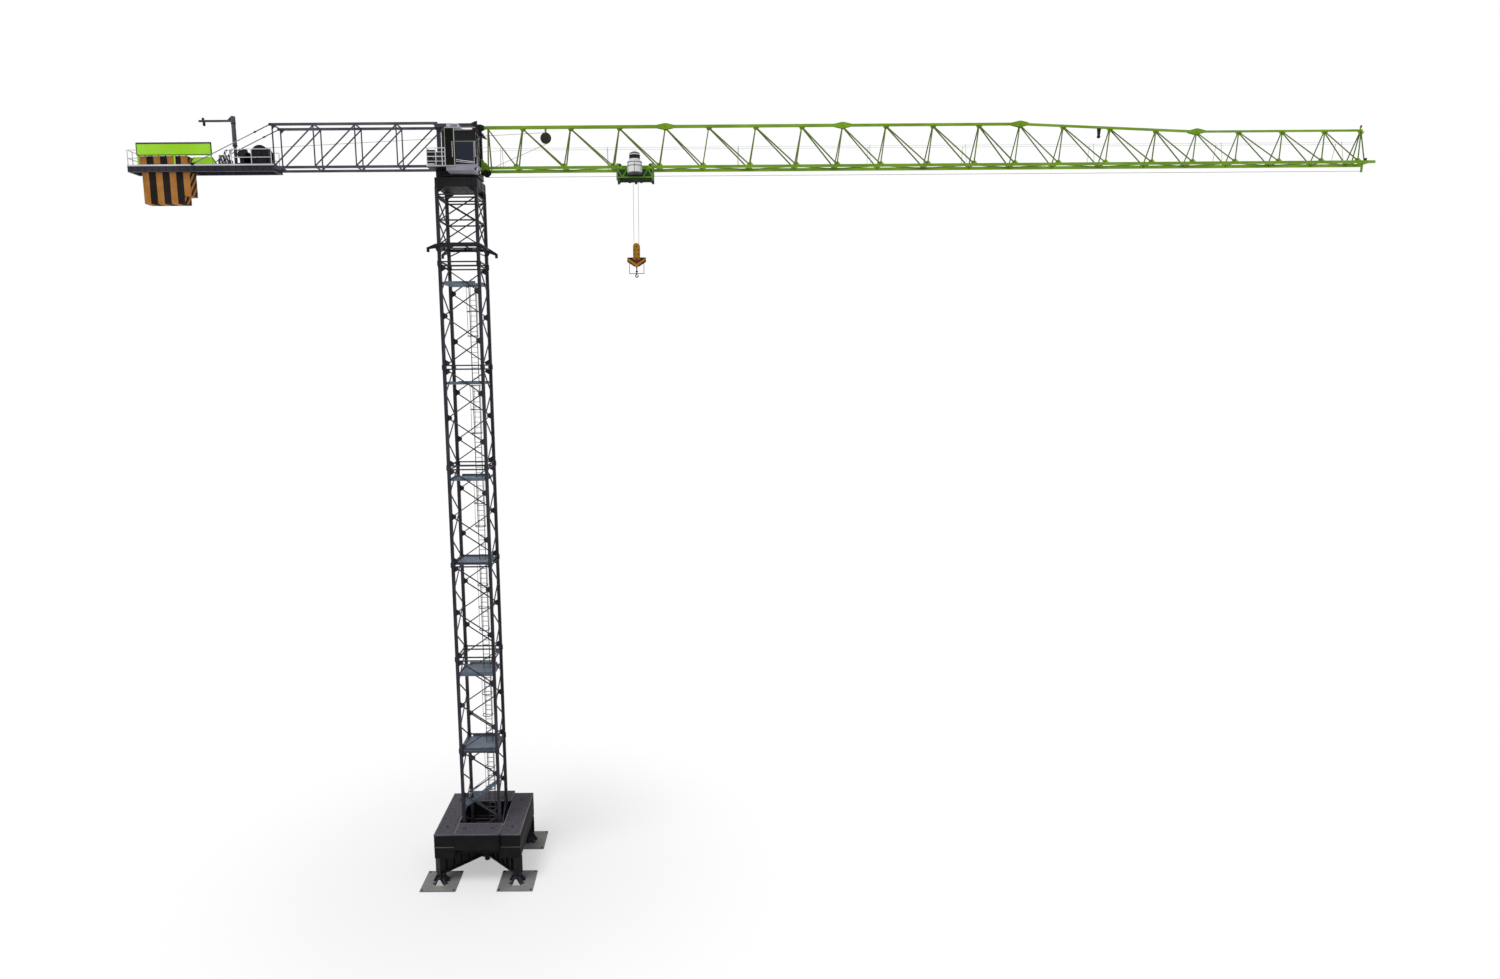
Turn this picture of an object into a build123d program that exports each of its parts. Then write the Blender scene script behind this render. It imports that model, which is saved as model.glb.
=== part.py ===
from build123d import *
import math
import os

# A flat-top tower crane with a trolley jib, made at half size (1:2). Lengths are millimetres
# of the half-size model. X runs out along the jib, Y across it and Z up. The origin lies on
# the ground, on the mast axis, in the plane under the four foot plates.

os.makedirs("parts", exist_ok=True)

# Feet: four square plates with a flared, finned pedestal on each
foot_spacing = 2310.0
foot_plate_width = 1075.0
foot_plate_thickness = 25.0
foot_bolt_edge = 60.0
foot_bolt_radius = 13.0
pedestal_foot_width = 360.0
pedestal_waist_width = 150.0
pedestal_waist_height = 190.0
pedestal_head_width = 250.0
pedestal_fin_thickness = 18.0
pedestal_fin_foot_width = 520.0

# Cross base: two crossing I-beams with a hub
beam_underside = 300.0
beam_depth = 550.0
beam_web_width = 130.0
beam_flange_width = 250.0
beam_flange_thickness = 35.0
beam_overhang = 110.0
beam_rib_pitch = 260.0
beam_rib_thickness = 16.0
hub_radius = 330.0
hub_sides = 8
hub_pin_radius = 85.0
hub_pin_drop = 250.0

# Ballast: concrete blocks in two layers round an open middle
ballast_inner = 690.0
ballast_outer = 1300.0
ballast_side_lower_height = 365.0
ballast_side_upper_height = 385.0
ballast_end_lower_height = 295.0
ballast_end_upper_height = 500.0
ballast_end_outer = 1370.0
ballast_recess_depth = 330.0
ballast_gap = 6.0
ballast_edge = 18.0

# Mast: four legs, six sections, zigzag bracing on each face
leg_spacing = 1100.0
leg_width = 88.0
section_height = 2900.0
section_count = 6
lowest_joint_height = 1040.0
zigzag_count = 4
brace_width = 30.0
brace_depth = 30.0
joint_bar_gap = 110.0
joint_bar_width = 38.0
sleeve_width = 116.0
sleeve_height = 150.0
leg_shoe_width = 230.0
leg_shoe_height = 110.0

# Landings and ladders inside the mast. Each landing lies a share of a section below its joint.
landing_drop_shares = (0.014, 0.186, 0.0, 0.134, 0.169, 0.193)
landing_thickness = 20.0
landing_corner_gap = 0.3
hatch_length = 400.0
hatch_width = 400.0
ladder_x = 190.0
ladder_y = 120.0
ladder_width = 210.0
ladder_stile = 20.0
ladder_rung = 12.0
ladder_pitch = 150.0
ladder_clearance = 30.0
cage_radius = 165.0
cage_band = 10.0
cage_band_height = 24.0
cage_pitch = 700.0
cage_sides = 8

# Access stair in the lowest section
stair_rise = 800.0
stair_foot_height = 1230.0
stair_width = 240.0
stair_front_gap = 45.0
stair_stringer = 60.0
stair_stringer_thickness = 14.0
stair_tread_count = 8
stair_tread_depth = 70.0
stair_tread_thickness = 12.0
stair_bearer_width = 24.0
stair_bearer_height = 50.0
stair_rail_height = 330.0
stair_rail_bar = 14.0

# Top unit: the mast head below the slewing ring, with its collar
top_unit_height = 2085.0
head_bar_drop = 200.0
head_bar_gap = 80.0
middle_bar_drop = 895.0
low_bar_drop = 1525.0
collar_height = 85.0
collar_width = 45.0
collar_brace_drop = 230.0
collar_ear_reach = 820.0
collar_ear_thickness = 44.0
collar_ear_drop = 165.0
collar_ear_tip = 70.0
support_height = 250.0
support_width = 1175.0
support_gusset_width = 200.0
support_gusset_drop = 150.0
support_gusset_thickness = 30.0
ring_outer_radius = 520.0
ring_tooth_depth = 18.0
ring_tooth_count = 72
ring_bore_radius = 400.0
ring_height = 49.0

# Slewing joint
slew_seat_gap = 0.5
spigot_clearance = 1.0
spigot_depth = 30.0

# Turntable and turret, which carry jib, counter-jib and cab
turntable_length = 1180.0
turntable_width = 760.0
turntable_height = 160.0
turntable_flange_radius = 560.0
turntable_flange = 40.0
turret_rear = -520.0
turret_front = 590.0
turret_width = 640.0
turret_post = 90.0
turret_bar = 60.0
turret_height = 1275.5
turret_lug_reach = 130.0
turret_lug_height = 120.0
turret_lug_thickness = 16.0
drive_offset = 330.0
drive_radius = 75.0
drive_height = 210.0
drive_flange_radius = 105.0
drive_flange_height = 25.0
drive_motor_radius = 55.0
drive_motor_height = 130.0

# Cab, on the near side of the turret
cab_rear = -140.0
cab_front = 690.0
cab_front_foot = 600.0
cab_floor_rise = 45.0
cab_height = 1140.0
cab_roof_fall = 110.0
cab_near = -1010.0
cab_far = -410.0
cab_visor_reach = 190.0
cab_visor_drop = 70.0
cab_visor_thickness = 30.0
cab_panel_length = 230.0
cab_panel_thickness = 14.0
cab_skirt_height = 135.0
cab_window_recess = 16.0
cab_post = 40.0
cab_bracket_height = 90.0

# Service cabinet and step platform behind the cab
cabinet_length = 220.0
cabinet_width = 330.0
cabinet_height = 430.0
cabinet_near = -900.0
service_deck_length = 520.0
service_deck_thickness = 30.0
service_rail_height = 480.0

# Jib: one top chord, two bottom chords, lattice sides. Chords and bars get slimmer outwards.
jib_root = 840.0
jib_section_length = 5000.0
jib_width = 475.0
jib_rise = 100.0
jib_depth = 1140.0
jib_tip_depth = 900.0
bottom_chord_width = 60.0
bottom_chord_height = 70.0
rail_reach = 30.0
rail_thickness = 10.0
top_chord_size = 78.0
top_chord_gap = 12.0
side_bar = 34.0
side_bar_gap = 6.0
side_lean = 175.0
lacing_bar = 28.0
slimming_shares = (1.0, 0.94, 0.85, 0.74, 0.66)
joint_lug_length = 460.0
joint_lug_height = 160.0
joint_lug_thickness = 16.0
joint_pin_radius = 24.0
joint_pin_reach = 14.0
root_gusset_length = 230.0
root_gusset_height = 210.0
root_gusset_thickness = 14.0
first_section_shares = (0.195, 0.27, 0.275, 0.26)
section_shares = (0.245, 0.265, 0.26, 0.23)
last_section_shares = (0.239, 0.246, 0.24, 0.205)
level_section_count = 3
tip_run = 150.0
tip_frame_bar = 40.0
tip_chord_run = 150.0
tip_post = 24.0
tip_post_overtop = 80.0

# Rope sheaves of the jib
root_sheave_x = 2460.0
root_sheave_drop = 290.0
root_sheave_radius = 145.0
root_hanger_width = 26.0
guide_sheave_x = 765.0
guide_sheave_radius = 85.0
guide_guard_length = 230.0
sheave_width = 30.0
sheave_groove = 8.0
sheave_pin_radius = 16.0
hanger_thickness = 10.0
hanger_clearance = 4.0

# Ropes
rope_radius = 5.0
rope_drop = 205.0

# Counter-jib: a lattice truss and a deck behind it
truss_length = 4630.0
truss_panel_count = 4
truss_width = 540.0
truss_rise = 155.0
truss_depth = 1150.0
truss_top_chord = 62.0
truss_bottom_chord = 62.0
truss_bar = 30.0
truss_cheek = 120.0
deck_length = 4125.0
deck_width = 540.0
deck_drop = 100.0
deck_depth = 170.0
deck_beam = 70.0
deck_plate = 16.0
tie_run = 2290.0
tie_bar = 20.0
tie_gap = 2.0
tie_stub = 480.0
tie_lug = 70.0
tie_lug_thickness = 34.0

# Counterweight slabs, hung through the deck
slab_count = 7
slab_setback = 350.0
slab_pitch = 192.0
slab_thickness = 184.0
slab_body_width = 360.0
slab_ear_width = 470.0
slab_ear_height = 265.0
slab_drop = 1020.0
slab_short_drop = 810.0
slab_clearance = 12.0

# Sign board, left bare, with a lower board beside it
sign_setback = 295.0
sign_length = 2095.0
sign_rise = 280.0
sign_height = 335.0
sign_thickness = 24.0
sign_post = 40.0
low_board_setback = 1725.0
low_board_length = 810.0
low_board_height = 225.0
low_board_slope = 140.0

# Hoist winch
winch_setback = 180.0
winch_length = 860.0
winch_width = 500.0
winch_base = 60.0
drum_radius = 190.0
drum_length = 280.0
drum_flange_radius = 250.0
drum_flange = 24.0
winch_motor_radius = 120.0
winch_motor_length = 420.0
winch_motor_rise = 120.0
winch_gap = 4.0

# Switch cabinet on the deck
switch_setback = 1340.0
switch_length = 280.0
switch_width = 300.0
switch_height = 200.0

# Handrails
rail_bar = 18.0
rail_height = 440.0

# Davit
davit_setback = 1185.0
davit_post_height = 1190.0
davit_post_radius = 58.0
davit_neck_radius = 42.0
davit_neck_height = 560.0
davit_stub_radius = 34.0
davit_stub_height = 120.0
davit_foot_width = 260.0
davit_foot_thickness = 20.0
davit_arm_length = 965.0
davit_arm_bar = 50.0
davit_sleeve_radius = 62.0
davit_clearance = 1.0
davit_knob = 60.0

# Trolley
trolley_x = 4985.0
trolley_length = 1050.0
trolley_depth = 330.0
trolley_plate = 14.0
trolley_plate_gap = 8.0
wheel_radius = 55.0
wheel_width = 24.0
wheel_gap = 5.0
wheel_rail_gap = 0.3
wheel_axle_radius = 16.0
wheel_setback = 95.0
trolley_skirt_drop = 110.0
trolley_beam = 70.0
trolley_prong = 46.0
trolley_sheave_radius = 85.0
trolley_sheave_offset = 160.0
trolley_chord_clearance = 12.0
reel_radius = 205.0
reel_head_radius = 150.0
reel_height = 320.0
reel_head_height = 250.0
reel_shelf = 20.0
reel_gap = 10.0

# Hook block
block_hang = 1685.0
housing_width = 200.0
housing_depth = 110.0
housing_height = 410.0
housing_slot = 40.0
cheek_width = 540.0
cheek_height = 245.0
cheek_depth = 90.0
cheek_side_share = 0.45
cheek_tip_width = 130.0
guard_width = 430.0
guard_drop = 205.0
guard_bar = 16.0
guard_ring_radius = 44.0

# Hook
hook_shank_radius = 15.0
hook_shank_clearance = 1.0
hook_socket_depth = 70.0
hook_bowl_radius = 36.0
hook_bowl_drop = 57.0
hook_section_radius = 15.0
hook_tip_radius = 8.0

overrun = 10.0


def block(low, high):
    """A box between two corners."""
    size = [high[i] - low[i] for i in range(3)]
    middle = [(high[i] + low[i]) / 2 for i in range(3)]
    return Pos(*middle) * Box(*size)


def rod_y(x, z, y_low, y_high, radius):
    """A round rod along Y."""
    middle = (y_low + y_high) / 2
    return Pos(x, middle, z) * Rot(90, 0, 0) * Cylinder(radius, y_high - y_low)


def rod_z(x, y, z_low, z_high, radius):
    """A round rod along Z."""
    return Pos(x, y, (z_low + z_high) / 2) * Cylinder(radius, z_high - z_low)


def bar(start, end, width, depth, side=(0, 1, 0)):
    """A straight bar of rectangular section, with its depth along side."""
    axis = Vector(*end) - Vector(*start)
    plane = Plane(origin=start, z_dir=axis, x_dir=Vector(*side).cross(axis))
    return extrude(plane * Rectangle(width, depth), axis.length)


def strip(start, end, width):
    """The outline of a flat bar between two points of a plane."""
    run = end[0] - start[0]
    rise = end[1] - start[1]
    turn = math.degrees(math.atan2(rise, run))
    middle = Pos((start[0] + end[0]) / 2, (start[1] + end[1]) / 2)
    return middle * Rot(0, 0, turn) * Rectangle(math.hypot(run, rise), width)


def outline_plate(points, plane, depth):
    """A plate of the given outline, centred on a plane."""
    return extrude(plane * make_face(Polyline(*points, close=True)), depth / 2, both=True)


def front_plane(y):
    """The upright plane across Y, with X to the right and Z up."""
    return Plane(origin=(0, y, 0), x_dir=(1, 0, 0), z_dir=(0, -1, 0))


def side_plane(x):
    """The upright plane across X, with Y to the right and Z up."""
    return Plane(origin=(x, 0, 0), x_dir=(0, 1, 0), z_dir=(1, 0, 0))


def save(name, pieces):
    """One STEP file for a node, from one solid or several that stay apart."""
    if isinstance(pieces, list):
        pieces = Compound(children=pieces)
    export_step(pieces, "parts/" + name + ".step")


half_plate = foot_plate_width / 2
foot_reach = foot_spacing / 2
foot_places = [(x, y) for x in (-foot_reach, foot_reach) for y in (-foot_reach, foot_reach)]
half_legs = leg_spacing / 2
leg_places = [(x, y) for x in (-half_legs, half_legs) for y in (-half_legs, half_legs)]
leg_inner = half_legs - leg_width / 2
leg_outer = half_legs + leg_width / 2
beam_top = beam_underside + beam_depth
joint_levels = [lowest_joint_height + k * section_height for k in range(section_count + 1)]
support_underside = joint_levels[-1] + top_unit_height
turntable_low = support_underside + support_height + ring_height + slew_seat_gap
turntable_top = turntable_low + turntable_height
bottom_chord_level = turntable_top + jib_rise
chord_low = bottom_chord_level - bottom_chord_height / 2
rope_level = bottom_chord_level - rope_drop
top_chord_level = bottom_chord_level + jib_depth
top_chord_tip_level = bottom_chord_level + jib_tip_depth
turret_top = turntable_top + turret_height
cab_floor = turntable_low + cab_floor_rise
cab_roof = cab_floor + cab_height
cab_roof_front = cab_roof - cab_roof_fall
truss_root = turret_rear
truss_end = truss_root - truss_length
truss_bottom_level = turntable_top + truss_rise
truss_top_level = truss_bottom_level + truss_depth
half_deck = deck_width / 2
deck_rear = truss_end - deck_length
deck_underside = truss_bottom_level - deck_drop
deck_top = deck_underside + deck_depth
davit_x = truss_end - davit_setback
davit_seat = deck_top + davit_post_height


# Feet
def foot_plate():
    """A square plate with a bolt hole near each corner."""
    plate = block((-half_plate, -half_plate, 0), (half_plate, half_plate, foot_plate_thickness))
    place = half_plate - foot_bolt_edge
    for x in (-place, place):
        for y in (-place, place):
            plate -= rod_z(x, y, -overrun, foot_plate_thickness + overrun, foot_bolt_radius)
    return plate


def foot_pedestal():
    """A flared stool with a waist, a square head and a fin on each side."""
    waist_level = foot_plate_thickness + pedestal_waist_height
    foot = Pos(0, 0, foot_plate_thickness) * Rectangle(pedestal_foot_width, pedestal_foot_width)
    waist = Pos(0, 0, waist_level) * Rectangle(pedestal_waist_width, pedestal_waist_width)
    head = Pos(0, 0, beam_underside) * Rectangle(pedestal_head_width, pedestal_head_width)
    stool = loft([foot, waist]) + loft([waist, head])
    fin = [
        (-pedestal_fin_foot_width / 2, foot_plate_thickness),
        (pedestal_fin_foot_width / 2, foot_plate_thickness),
        (pedestal_head_width / 2, beam_underside),
        (-pedestal_head_width / 2, beam_underside),
    ]
    stool += outline_plate(fin, front_plane(0), pedestal_fin_thickness)
    stool += outline_plate(fin, side_plane(0), pedestal_fin_thickness)
    return stool


save("foot_plates", [Pos(x, y, 0) * foot_plate() for x, y in foot_places])
save("foot_pedestals", [Pos(x, y, 0) * foot_pedestal() for x, y in foot_places])


# Cross base
def cross_base():
    """Two ribbed I-beams that cross at a hub, from foot to foot, with a pin under the hub."""
    half_length = math.hypot(foot_reach, foot_reach) + beam_overhang
    middle = beam_underside + beam_depth / 2
    flange_middle = (beam_depth - beam_flange_thickness) / 2
    beam = Pos(0, 0, middle) * Box(2 * half_length, beam_web_width, beam_depth)
    for side in (-1, 1):
        flange = Box(2 * half_length, beam_flange_width, beam_flange_thickness)
        beam += Pos(0, 0, middle + side * flange_middle) * flange
    rib = Box(beam_rib_thickness, beam_flange_width, beam_depth)
    count = int((half_length - hub_radius) / beam_rib_pitch)
    for k in range(count + 1):
        place = half_length - beam_rib_thickness / 2 - k * beam_rib_pitch
        beam += [Pos(place, 0, middle) * rib, Pos(-place, 0, middle) * rib]
    pin = rod_z(0, 0, beam_underside - hub_pin_drop, beam_top, hub_pin_radius)
    collar = Pos(0, 0, middle) * extrude(RegularPolygon(hub_radius, hub_sides), beam_depth / 2, both=True)
    return Rot(0, 0, 45) * beam + Rot(0, 0, -45) * beam + collar + pin


save("cross_base", cross_base())


# Ballast
def ballast_block(x_low, x_high, y_low, y_high, z_low, z_high):
    """A concrete block with bevelled upright edges."""
    cast = block((x_low, y_low, z_low), (x_high, y_high, z_high))
    return chamfer(cast.edges().filter_by(Axis.Z), ballast_edge)


def both_sides(make):
    """A block and its mirror image across the mast."""
    return [make, mirror(make, Plane.YZ)]


def both_ends(make):
    """A block and its mirror image, front and rear."""
    return [make, mirror(make, Plane.XZ)]


side_split = beam_top + ballast_side_lower_height
side_top = side_split + ballast_side_upper_height
end_split = beam_top + ballast_end_lower_height
end_top = end_split + ballast_end_upper_height
end_half = ballast_inner - ballast_gap
side_lower = ballast_block(ballast_inner, ballast_outer, -ballast_outer, ballast_outer, beam_top, side_split)
side_upper = ballast_block(ballast_inner, ballast_outer, -ballast_outer, ballast_outer, side_split, side_top)
end_recessed = ballast_end_outer - ballast_recess_depth
end_lower = ballast_block(-end_half, end_half, -end_recessed, -ballast_inner, beam_top, end_split)
end_upper = ballast_block(-end_half, end_half, -ballast_end_outer, -ballast_inner, end_split, end_top)
save("ballast_lower", both_sides(side_lower) + both_ends(end_lower))
save("ballast_upper", both_sides(side_upper) + both_ends(end_upper))


# Mast legs
def mast_leg(x, y):
    """A square leg from the cross base to the slewing support, with a sleeve at each joint."""
    half = leg_width / 2
    leg = block((x - half, y - half, beam_top), (x + half, y + half, support_underside))
    for level in joint_levels:
        leg += Pos(x, y, level) * Box(sleeve_width, sleeve_width, sleeve_height)
    foot = Pos(x, y, beam_top) * Rectangle(leg_shoe_width, leg_shoe_width)
    head = Pos(x, y, beam_top + leg_shoe_height) * Rectangle(leg_width, leg_width)
    return leg + loft([foot, head])


save("mast_legs", [mast_leg(x, y) for x, y in leg_places])


# Mast bracing
def clip(shape, low, high, half):
    """What of a sketch lies between two heights and within a half width."""
    window = Pos(0, (low + high) / 2) * Rectangle(2 * half, high - low)
    return shape & window


def mast_bracing():
    """One face of the mast: two bars at each joint and a zigzag between the joints."""
    strips = []
    for level in joint_levels:
        for offset in (-joint_bar_gap / 2, joint_bar_gap / 2):
            place = level + offset
            strips.append(strip((-half_legs, place), (half_legs, place), joint_bar_width))
    step = (section_height - joint_bar_gap) / zigzag_count
    for joint in joint_levels[:-1]:
        for count in range(zigzag_count):
            low = joint + joint_bar_gap / 2 + count * step
            side = -1 if count % 2 == 0 else 1
            strips.append(strip((side * leg_inner, low), (-side * leg_inner, low + step), brace_width))
    face = Sketch() + strips
    ends = joint_bar_gap / 2 + joint_bar_width / 2
    for level in joint_levels:
        for side in (-1, 1):
            notch = Pos(side * (sleeve_inner + half_legs) / 2, level)
            face -= notch * Rectangle(half_legs - sleeve_inner, sleeve_height)
    face = clip(face, joint_levels[0] - ends, joint_levels[-1] + ends, leg_inner)
    return extrude(front_plane(-half_legs) * face, brace_depth / 2, both=True)


sleeve_inner = half_legs - sleeve_width / 2
bracing = mast_bracing()
save("mast_bracing_front", bracing)
save("mast_bracing_right", Rot(0, 0, 90) * bracing)
save("mast_bracing_rear", Rot(0, 0, 180) * bracing)
save("mast_bracing_left", Rot(0, 0, 270) * bracing)


# Landings and ladders
def landing(level):
    """A floor plate inside the mast, with a hatch for the ladder."""
    reach = half_legs - brace_depth / 2
    corner = 2 * (half_legs - sleeve_inner + landing_corner_gap)
    plate = block((-reach, -reach, level), (reach, reach, level + landing_thickness))
    for x, y in leg_places:
        plate -= Pos(x, y, level) * Box(corner, corner, 4 * landing_thickness)
    hatch_y = ladder_y - ladder_stile / 2 - hatch_width / 2
    return plate - Pos(ladder_x, hatch_y, level) * Box(hatch_length, hatch_width, 4 * landing_thickness)


def ladder(low, high):
    """An upright ladder between two landings."""
    strips = []
    for edge in (-1, 1):
        place = ladder_x + edge * (ladder_width - ladder_stile) / 2
        strips.append(strip((place, low), (place, high), ladder_stile))
    count = int((high - low) / ladder_pitch)
    for step in range(1, count):
        level = low + step * ladder_pitch
        start = (ladder_x - ladder_width / 2, level)
        strips.append(strip(start, (ladder_x + ladder_width / 2, level), ladder_rung))
    return extrude(front_plane(ladder_y) * (Sketch() + strips), ladder_stile / 2, both=True)


def ladder_cage(low, high):
    """Hoops before a ladder that end on its stiles, tied by three upright straps."""
    corner = math.pi / cage_sides
    middle_radius = cage_radius - cage_band / 2
    stile_place = (ladder_width - ladder_stile) / 2
    setback = middle_radius * (math.cos(corner) + math.sin(corner)) - stile_place
    centre_y = ladder_y - setback
    ring = RegularPolygon(cage_radius, cage_sides) - RegularPolygon(cage_radius - cage_band, cage_sides)
    near = Pos(ladder_x, ladder_y - cage_radius) * Rectangle(2 * cage_radius, 2 * cage_radius)
    hoop = (Pos(ladder_x, centre_y) * Rot(0, 0, 180 / cage_sides) * ring) & near
    count = int((high - low - cage_pitch) / cage_pitch)
    levels = [high - cage_band_height - k * cage_pitch for k in range(count + 1)]
    pieces = [extrude(Plane.XY.offset(level) * hoop, cage_band_height) for level in levels]
    reach = middle_radius * math.cos(corner)
    half = cage_band / 2
    for x, y in ((0, -reach), (-reach, 0), (reach, 0)):
        low_corner = (ladder_x + x - half, centre_y + y - half, levels[-1])
        pieces.append(block(low_corner, (ladder_x + x + half, centre_y + y + half, high)))
    return pieces


landing_levels = []
for joint, drop_share in zip(joint_levels[1:], landing_drop_shares):
    landing_levels.append(joint - drop_share * section_height)
save("mast_landings", [landing(level) for level in landing_levels])
ladder_feet = [beam_top] + [level + landing_thickness for level in landing_levels[:-1]]
ladder_heads = [level - ladder_clearance for level in landing_levels]
ladders = []
for low, high in zip(ladder_feet, ladder_heads):
    ladders.append(Part() + ([ladder(low, high)] + ladder_cage(low, high)))
save("mast_ladders", ladders)


# Access stair
def access_stair():
    """A steep stair in the lowest section, from left to right behind the front face, on two
    bearers between the legs."""
    near = -leg_inner + stair_front_gap
    far = near + stair_width
    bearer_outer = half_legs - brace_depth / 2 - landing_corner_gap
    bearer_inner = bearer_outer - stair_bearer_width
    low = beam_top + stair_foot_height
    high = low + stair_rise
    pieces = []
    for side, level in ((-1, low), (1, high)):
        ends = sorted((side * bearer_inner, side * bearer_outer))
        pieces.append(block((ends[0], -leg_inner, level - stair_bearer_height), (ends[1], leg_inner, level)))
    start = (-bearer_inner, low - stair_bearer_height / 2)
    end = (bearer_inner, high - stair_bearer_height / 2)
    flat = strip(start, end, stair_stringer)
    window = Pos(0, (low + high) / 2) * Rectangle(2 * bearer_inner, 2 * (high - low))
    rail_start = (start[0] + stair_rail_bar / 2, start[1] + stair_rail_height)
    rail_end = (end[0] - stair_rail_bar / 2, end[1] + stair_rail_height)
    strips = [flat & window, strip(rail_start, rail_end, stair_rail_bar)]
    for (x, foot), (_, head) in ((start, rail_start), (end, rail_end)):
        place = x - math.copysign(stair_rail_bar / 2, x)
        strips.append(strip((place, foot), (place, head), stair_rail_bar))
    side_sketch = Sketch() + strips
    for y in (near + stair_stringer_thickness / 2, far - stair_stringer_thickness / 2):
        pieces.append(extrude(front_plane(y) * side_sketch, stair_stringer_thickness / 2, both=True))
    for k in range(stair_tread_count):
        along = (k + 0.5) / stair_tread_count
        x = start[0] + along * (end[0] - start[0])
        z = start[1] + along * (end[1] - start[1])
        corner = (x - stair_tread_depth / 2, near, z - stair_tread_thickness / 2)
        pieces.append(block(corner, (x + stair_tread_depth / 2, far, z + stair_tread_thickness / 2)))
    return Part() + pieces


save("access_stair", access_stair())


# Top unit
head_bar = support_underside - head_bar_drop
second_bar = head_bar - head_bar_gap
middle_bar = support_underside - middle_bar_drop
low_bar = support_underside - low_bar_drop
collar_low = low_bar - joint_bar_width / 2 - collar_height


def top_bracing():
    """One face of the top unit: two crossed panels between bars, and two struts below the collar."""
    strips = []
    for level in (low_bar, middle_bar, second_bar, head_bar):
        strips.append(strip((-leg_inner, level), (leg_inner, level), joint_bar_width))
    for low, high in ((low_bar, middle_bar), (middle_bar, second_bar)):
        strips.append(strip((-leg_inner, low), (leg_inner, high), brace_width))
        strips.append(strip((-leg_inner, high), (leg_inner, low), brace_width))
    for side in (-1, 1):
        strips.append(strip((0, low_bar), (side * leg_inner, low_bar - collar_brace_drop), brace_width))
    low = low_bar - collar_brace_drop - brace_width
    face = clip(Sketch() + strips, low, head_bar + joint_bar_width, leg_inner)
    return extrude(front_plane(-half_legs) * face, brace_depth / 2, both=True)


save("top_unit_bracing", [Rot(0, 0, 90 * turn) * top_bracing() for turn in range(4)])


def mast_collar():
    """A square collar round the legs with a hooked ear at each corner."""
    high = collar_low + collar_height
    outer = leg_outer + collar_width
    ring = block((-outer, -outer, collar_low), (outer, outer, high))
    ring -= block((-leg_outer, -leg_outer, collar_low - overrun), (leg_outer, leg_outer, high + overrun))
    corner = math.hypot(leg_outer, leg_outer)
    tip = math.hypot(collar_ear_reach, collar_ear_reach)
    foot = collar_low - collar_ear_drop
    ear = [
        (corner, high),
        (corner + collar_width, high),
        (tip, collar_low - collar_height / 2),
        (tip, foot),
        (tip - collar_ear_tip, foot),
        (tip - collar_ear_tip, collar_low - collar_height),
        (corner + collar_width, collar_low - collar_height / 2),
        (corner, foot + collar_height / 2),
    ]
    for turn in range(4):
        ring += Rot(0, 0, 45 + 90 * turn) * outline_plate(ear, front_plane(0), collar_ear_thickness)
    return ring


save("mast_collar", mast_collar())


def ring_gear():
    """The outline of the fixed slewing ring, with gear teeth outside."""
    root = ring_outer_radius - ring_tooth_depth
    turn = 2 * math.pi / ring_tooth_count
    tooth_shares = ((0.0, root), (0.15, ring_outer_radius), (0.42, ring_outer_radius), (0.57, root))
    points = []
    for k in range(ring_tooth_count):
        for share, radius in tooth_shares:
            angle = (k + share) * turn
            points.append((radius * math.cos(angle), radius * math.sin(angle)))
    outline = make_face(Polyline(*points, close=True))
    return outline - Circle(ring_bore_radius)


def slew_support():
    """The box head of the mast, with gussets down to the legs."""
    half = support_width / 2
    head = block((-half, -half, support_underside), (half, half, support_top))
    for turn in range(4):
        for side in (-1, 1):
            gusset = [
                (side * leg_inner, support_underside),
                (side * (leg_inner - support_gusset_width), support_underside),
                (side * leg_inner, support_underside - support_gusset_drop),
            ]
            plate = outline_plate(gusset, front_plane(-half_legs), support_gusset_thickness)
            head += Rot(0, 0, 90 * turn) * plate
    return head


support_top = support_underside + support_height
save("slew_support", slew_support())
save("slewing_ring", extrude(Plane.XY.offset(support_top) * ring_gear(), ring_height))


# Turntable and turret
spigot_radius = ring_bore_radius - spigot_clearance


def turntable():
    """The slewing platform on its round flange, with a spigot inside the fixed ring."""
    half_length = turntable_length / 2
    half_width = turntable_width / 2
    deck = block((-half_length, -half_width, turntable_low), (half_length, half_width, turntable_top))
    deck += rod_z(0, 0, turntable_low, turntable_low + turntable_flange, turntable_flange_radius)
    return deck + rod_z(0, 0, turntable_low - spigot_depth, turntable_low, spigot_radius)


save("turntable", turntable())


def slew_drive(x):
    """A slewing gear unit on the turntable: a flange, a gearbox and the motor on it."""
    gearbox_top = turntable_top + drive_height
    unit = rod_z(x, 0, turntable_top, turntable_top + drive_flange_height, drive_flange_radius)
    unit += rod_z(x, 0, turntable_top, gearbox_top, drive_radius)
    return unit + rod_z(x, 0, gearbox_top, gearbox_top + drive_motor_height, drive_motor_radius)


save("slew_drives", [slew_drive(-drive_offset), slew_drive(drive_offset)])


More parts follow.
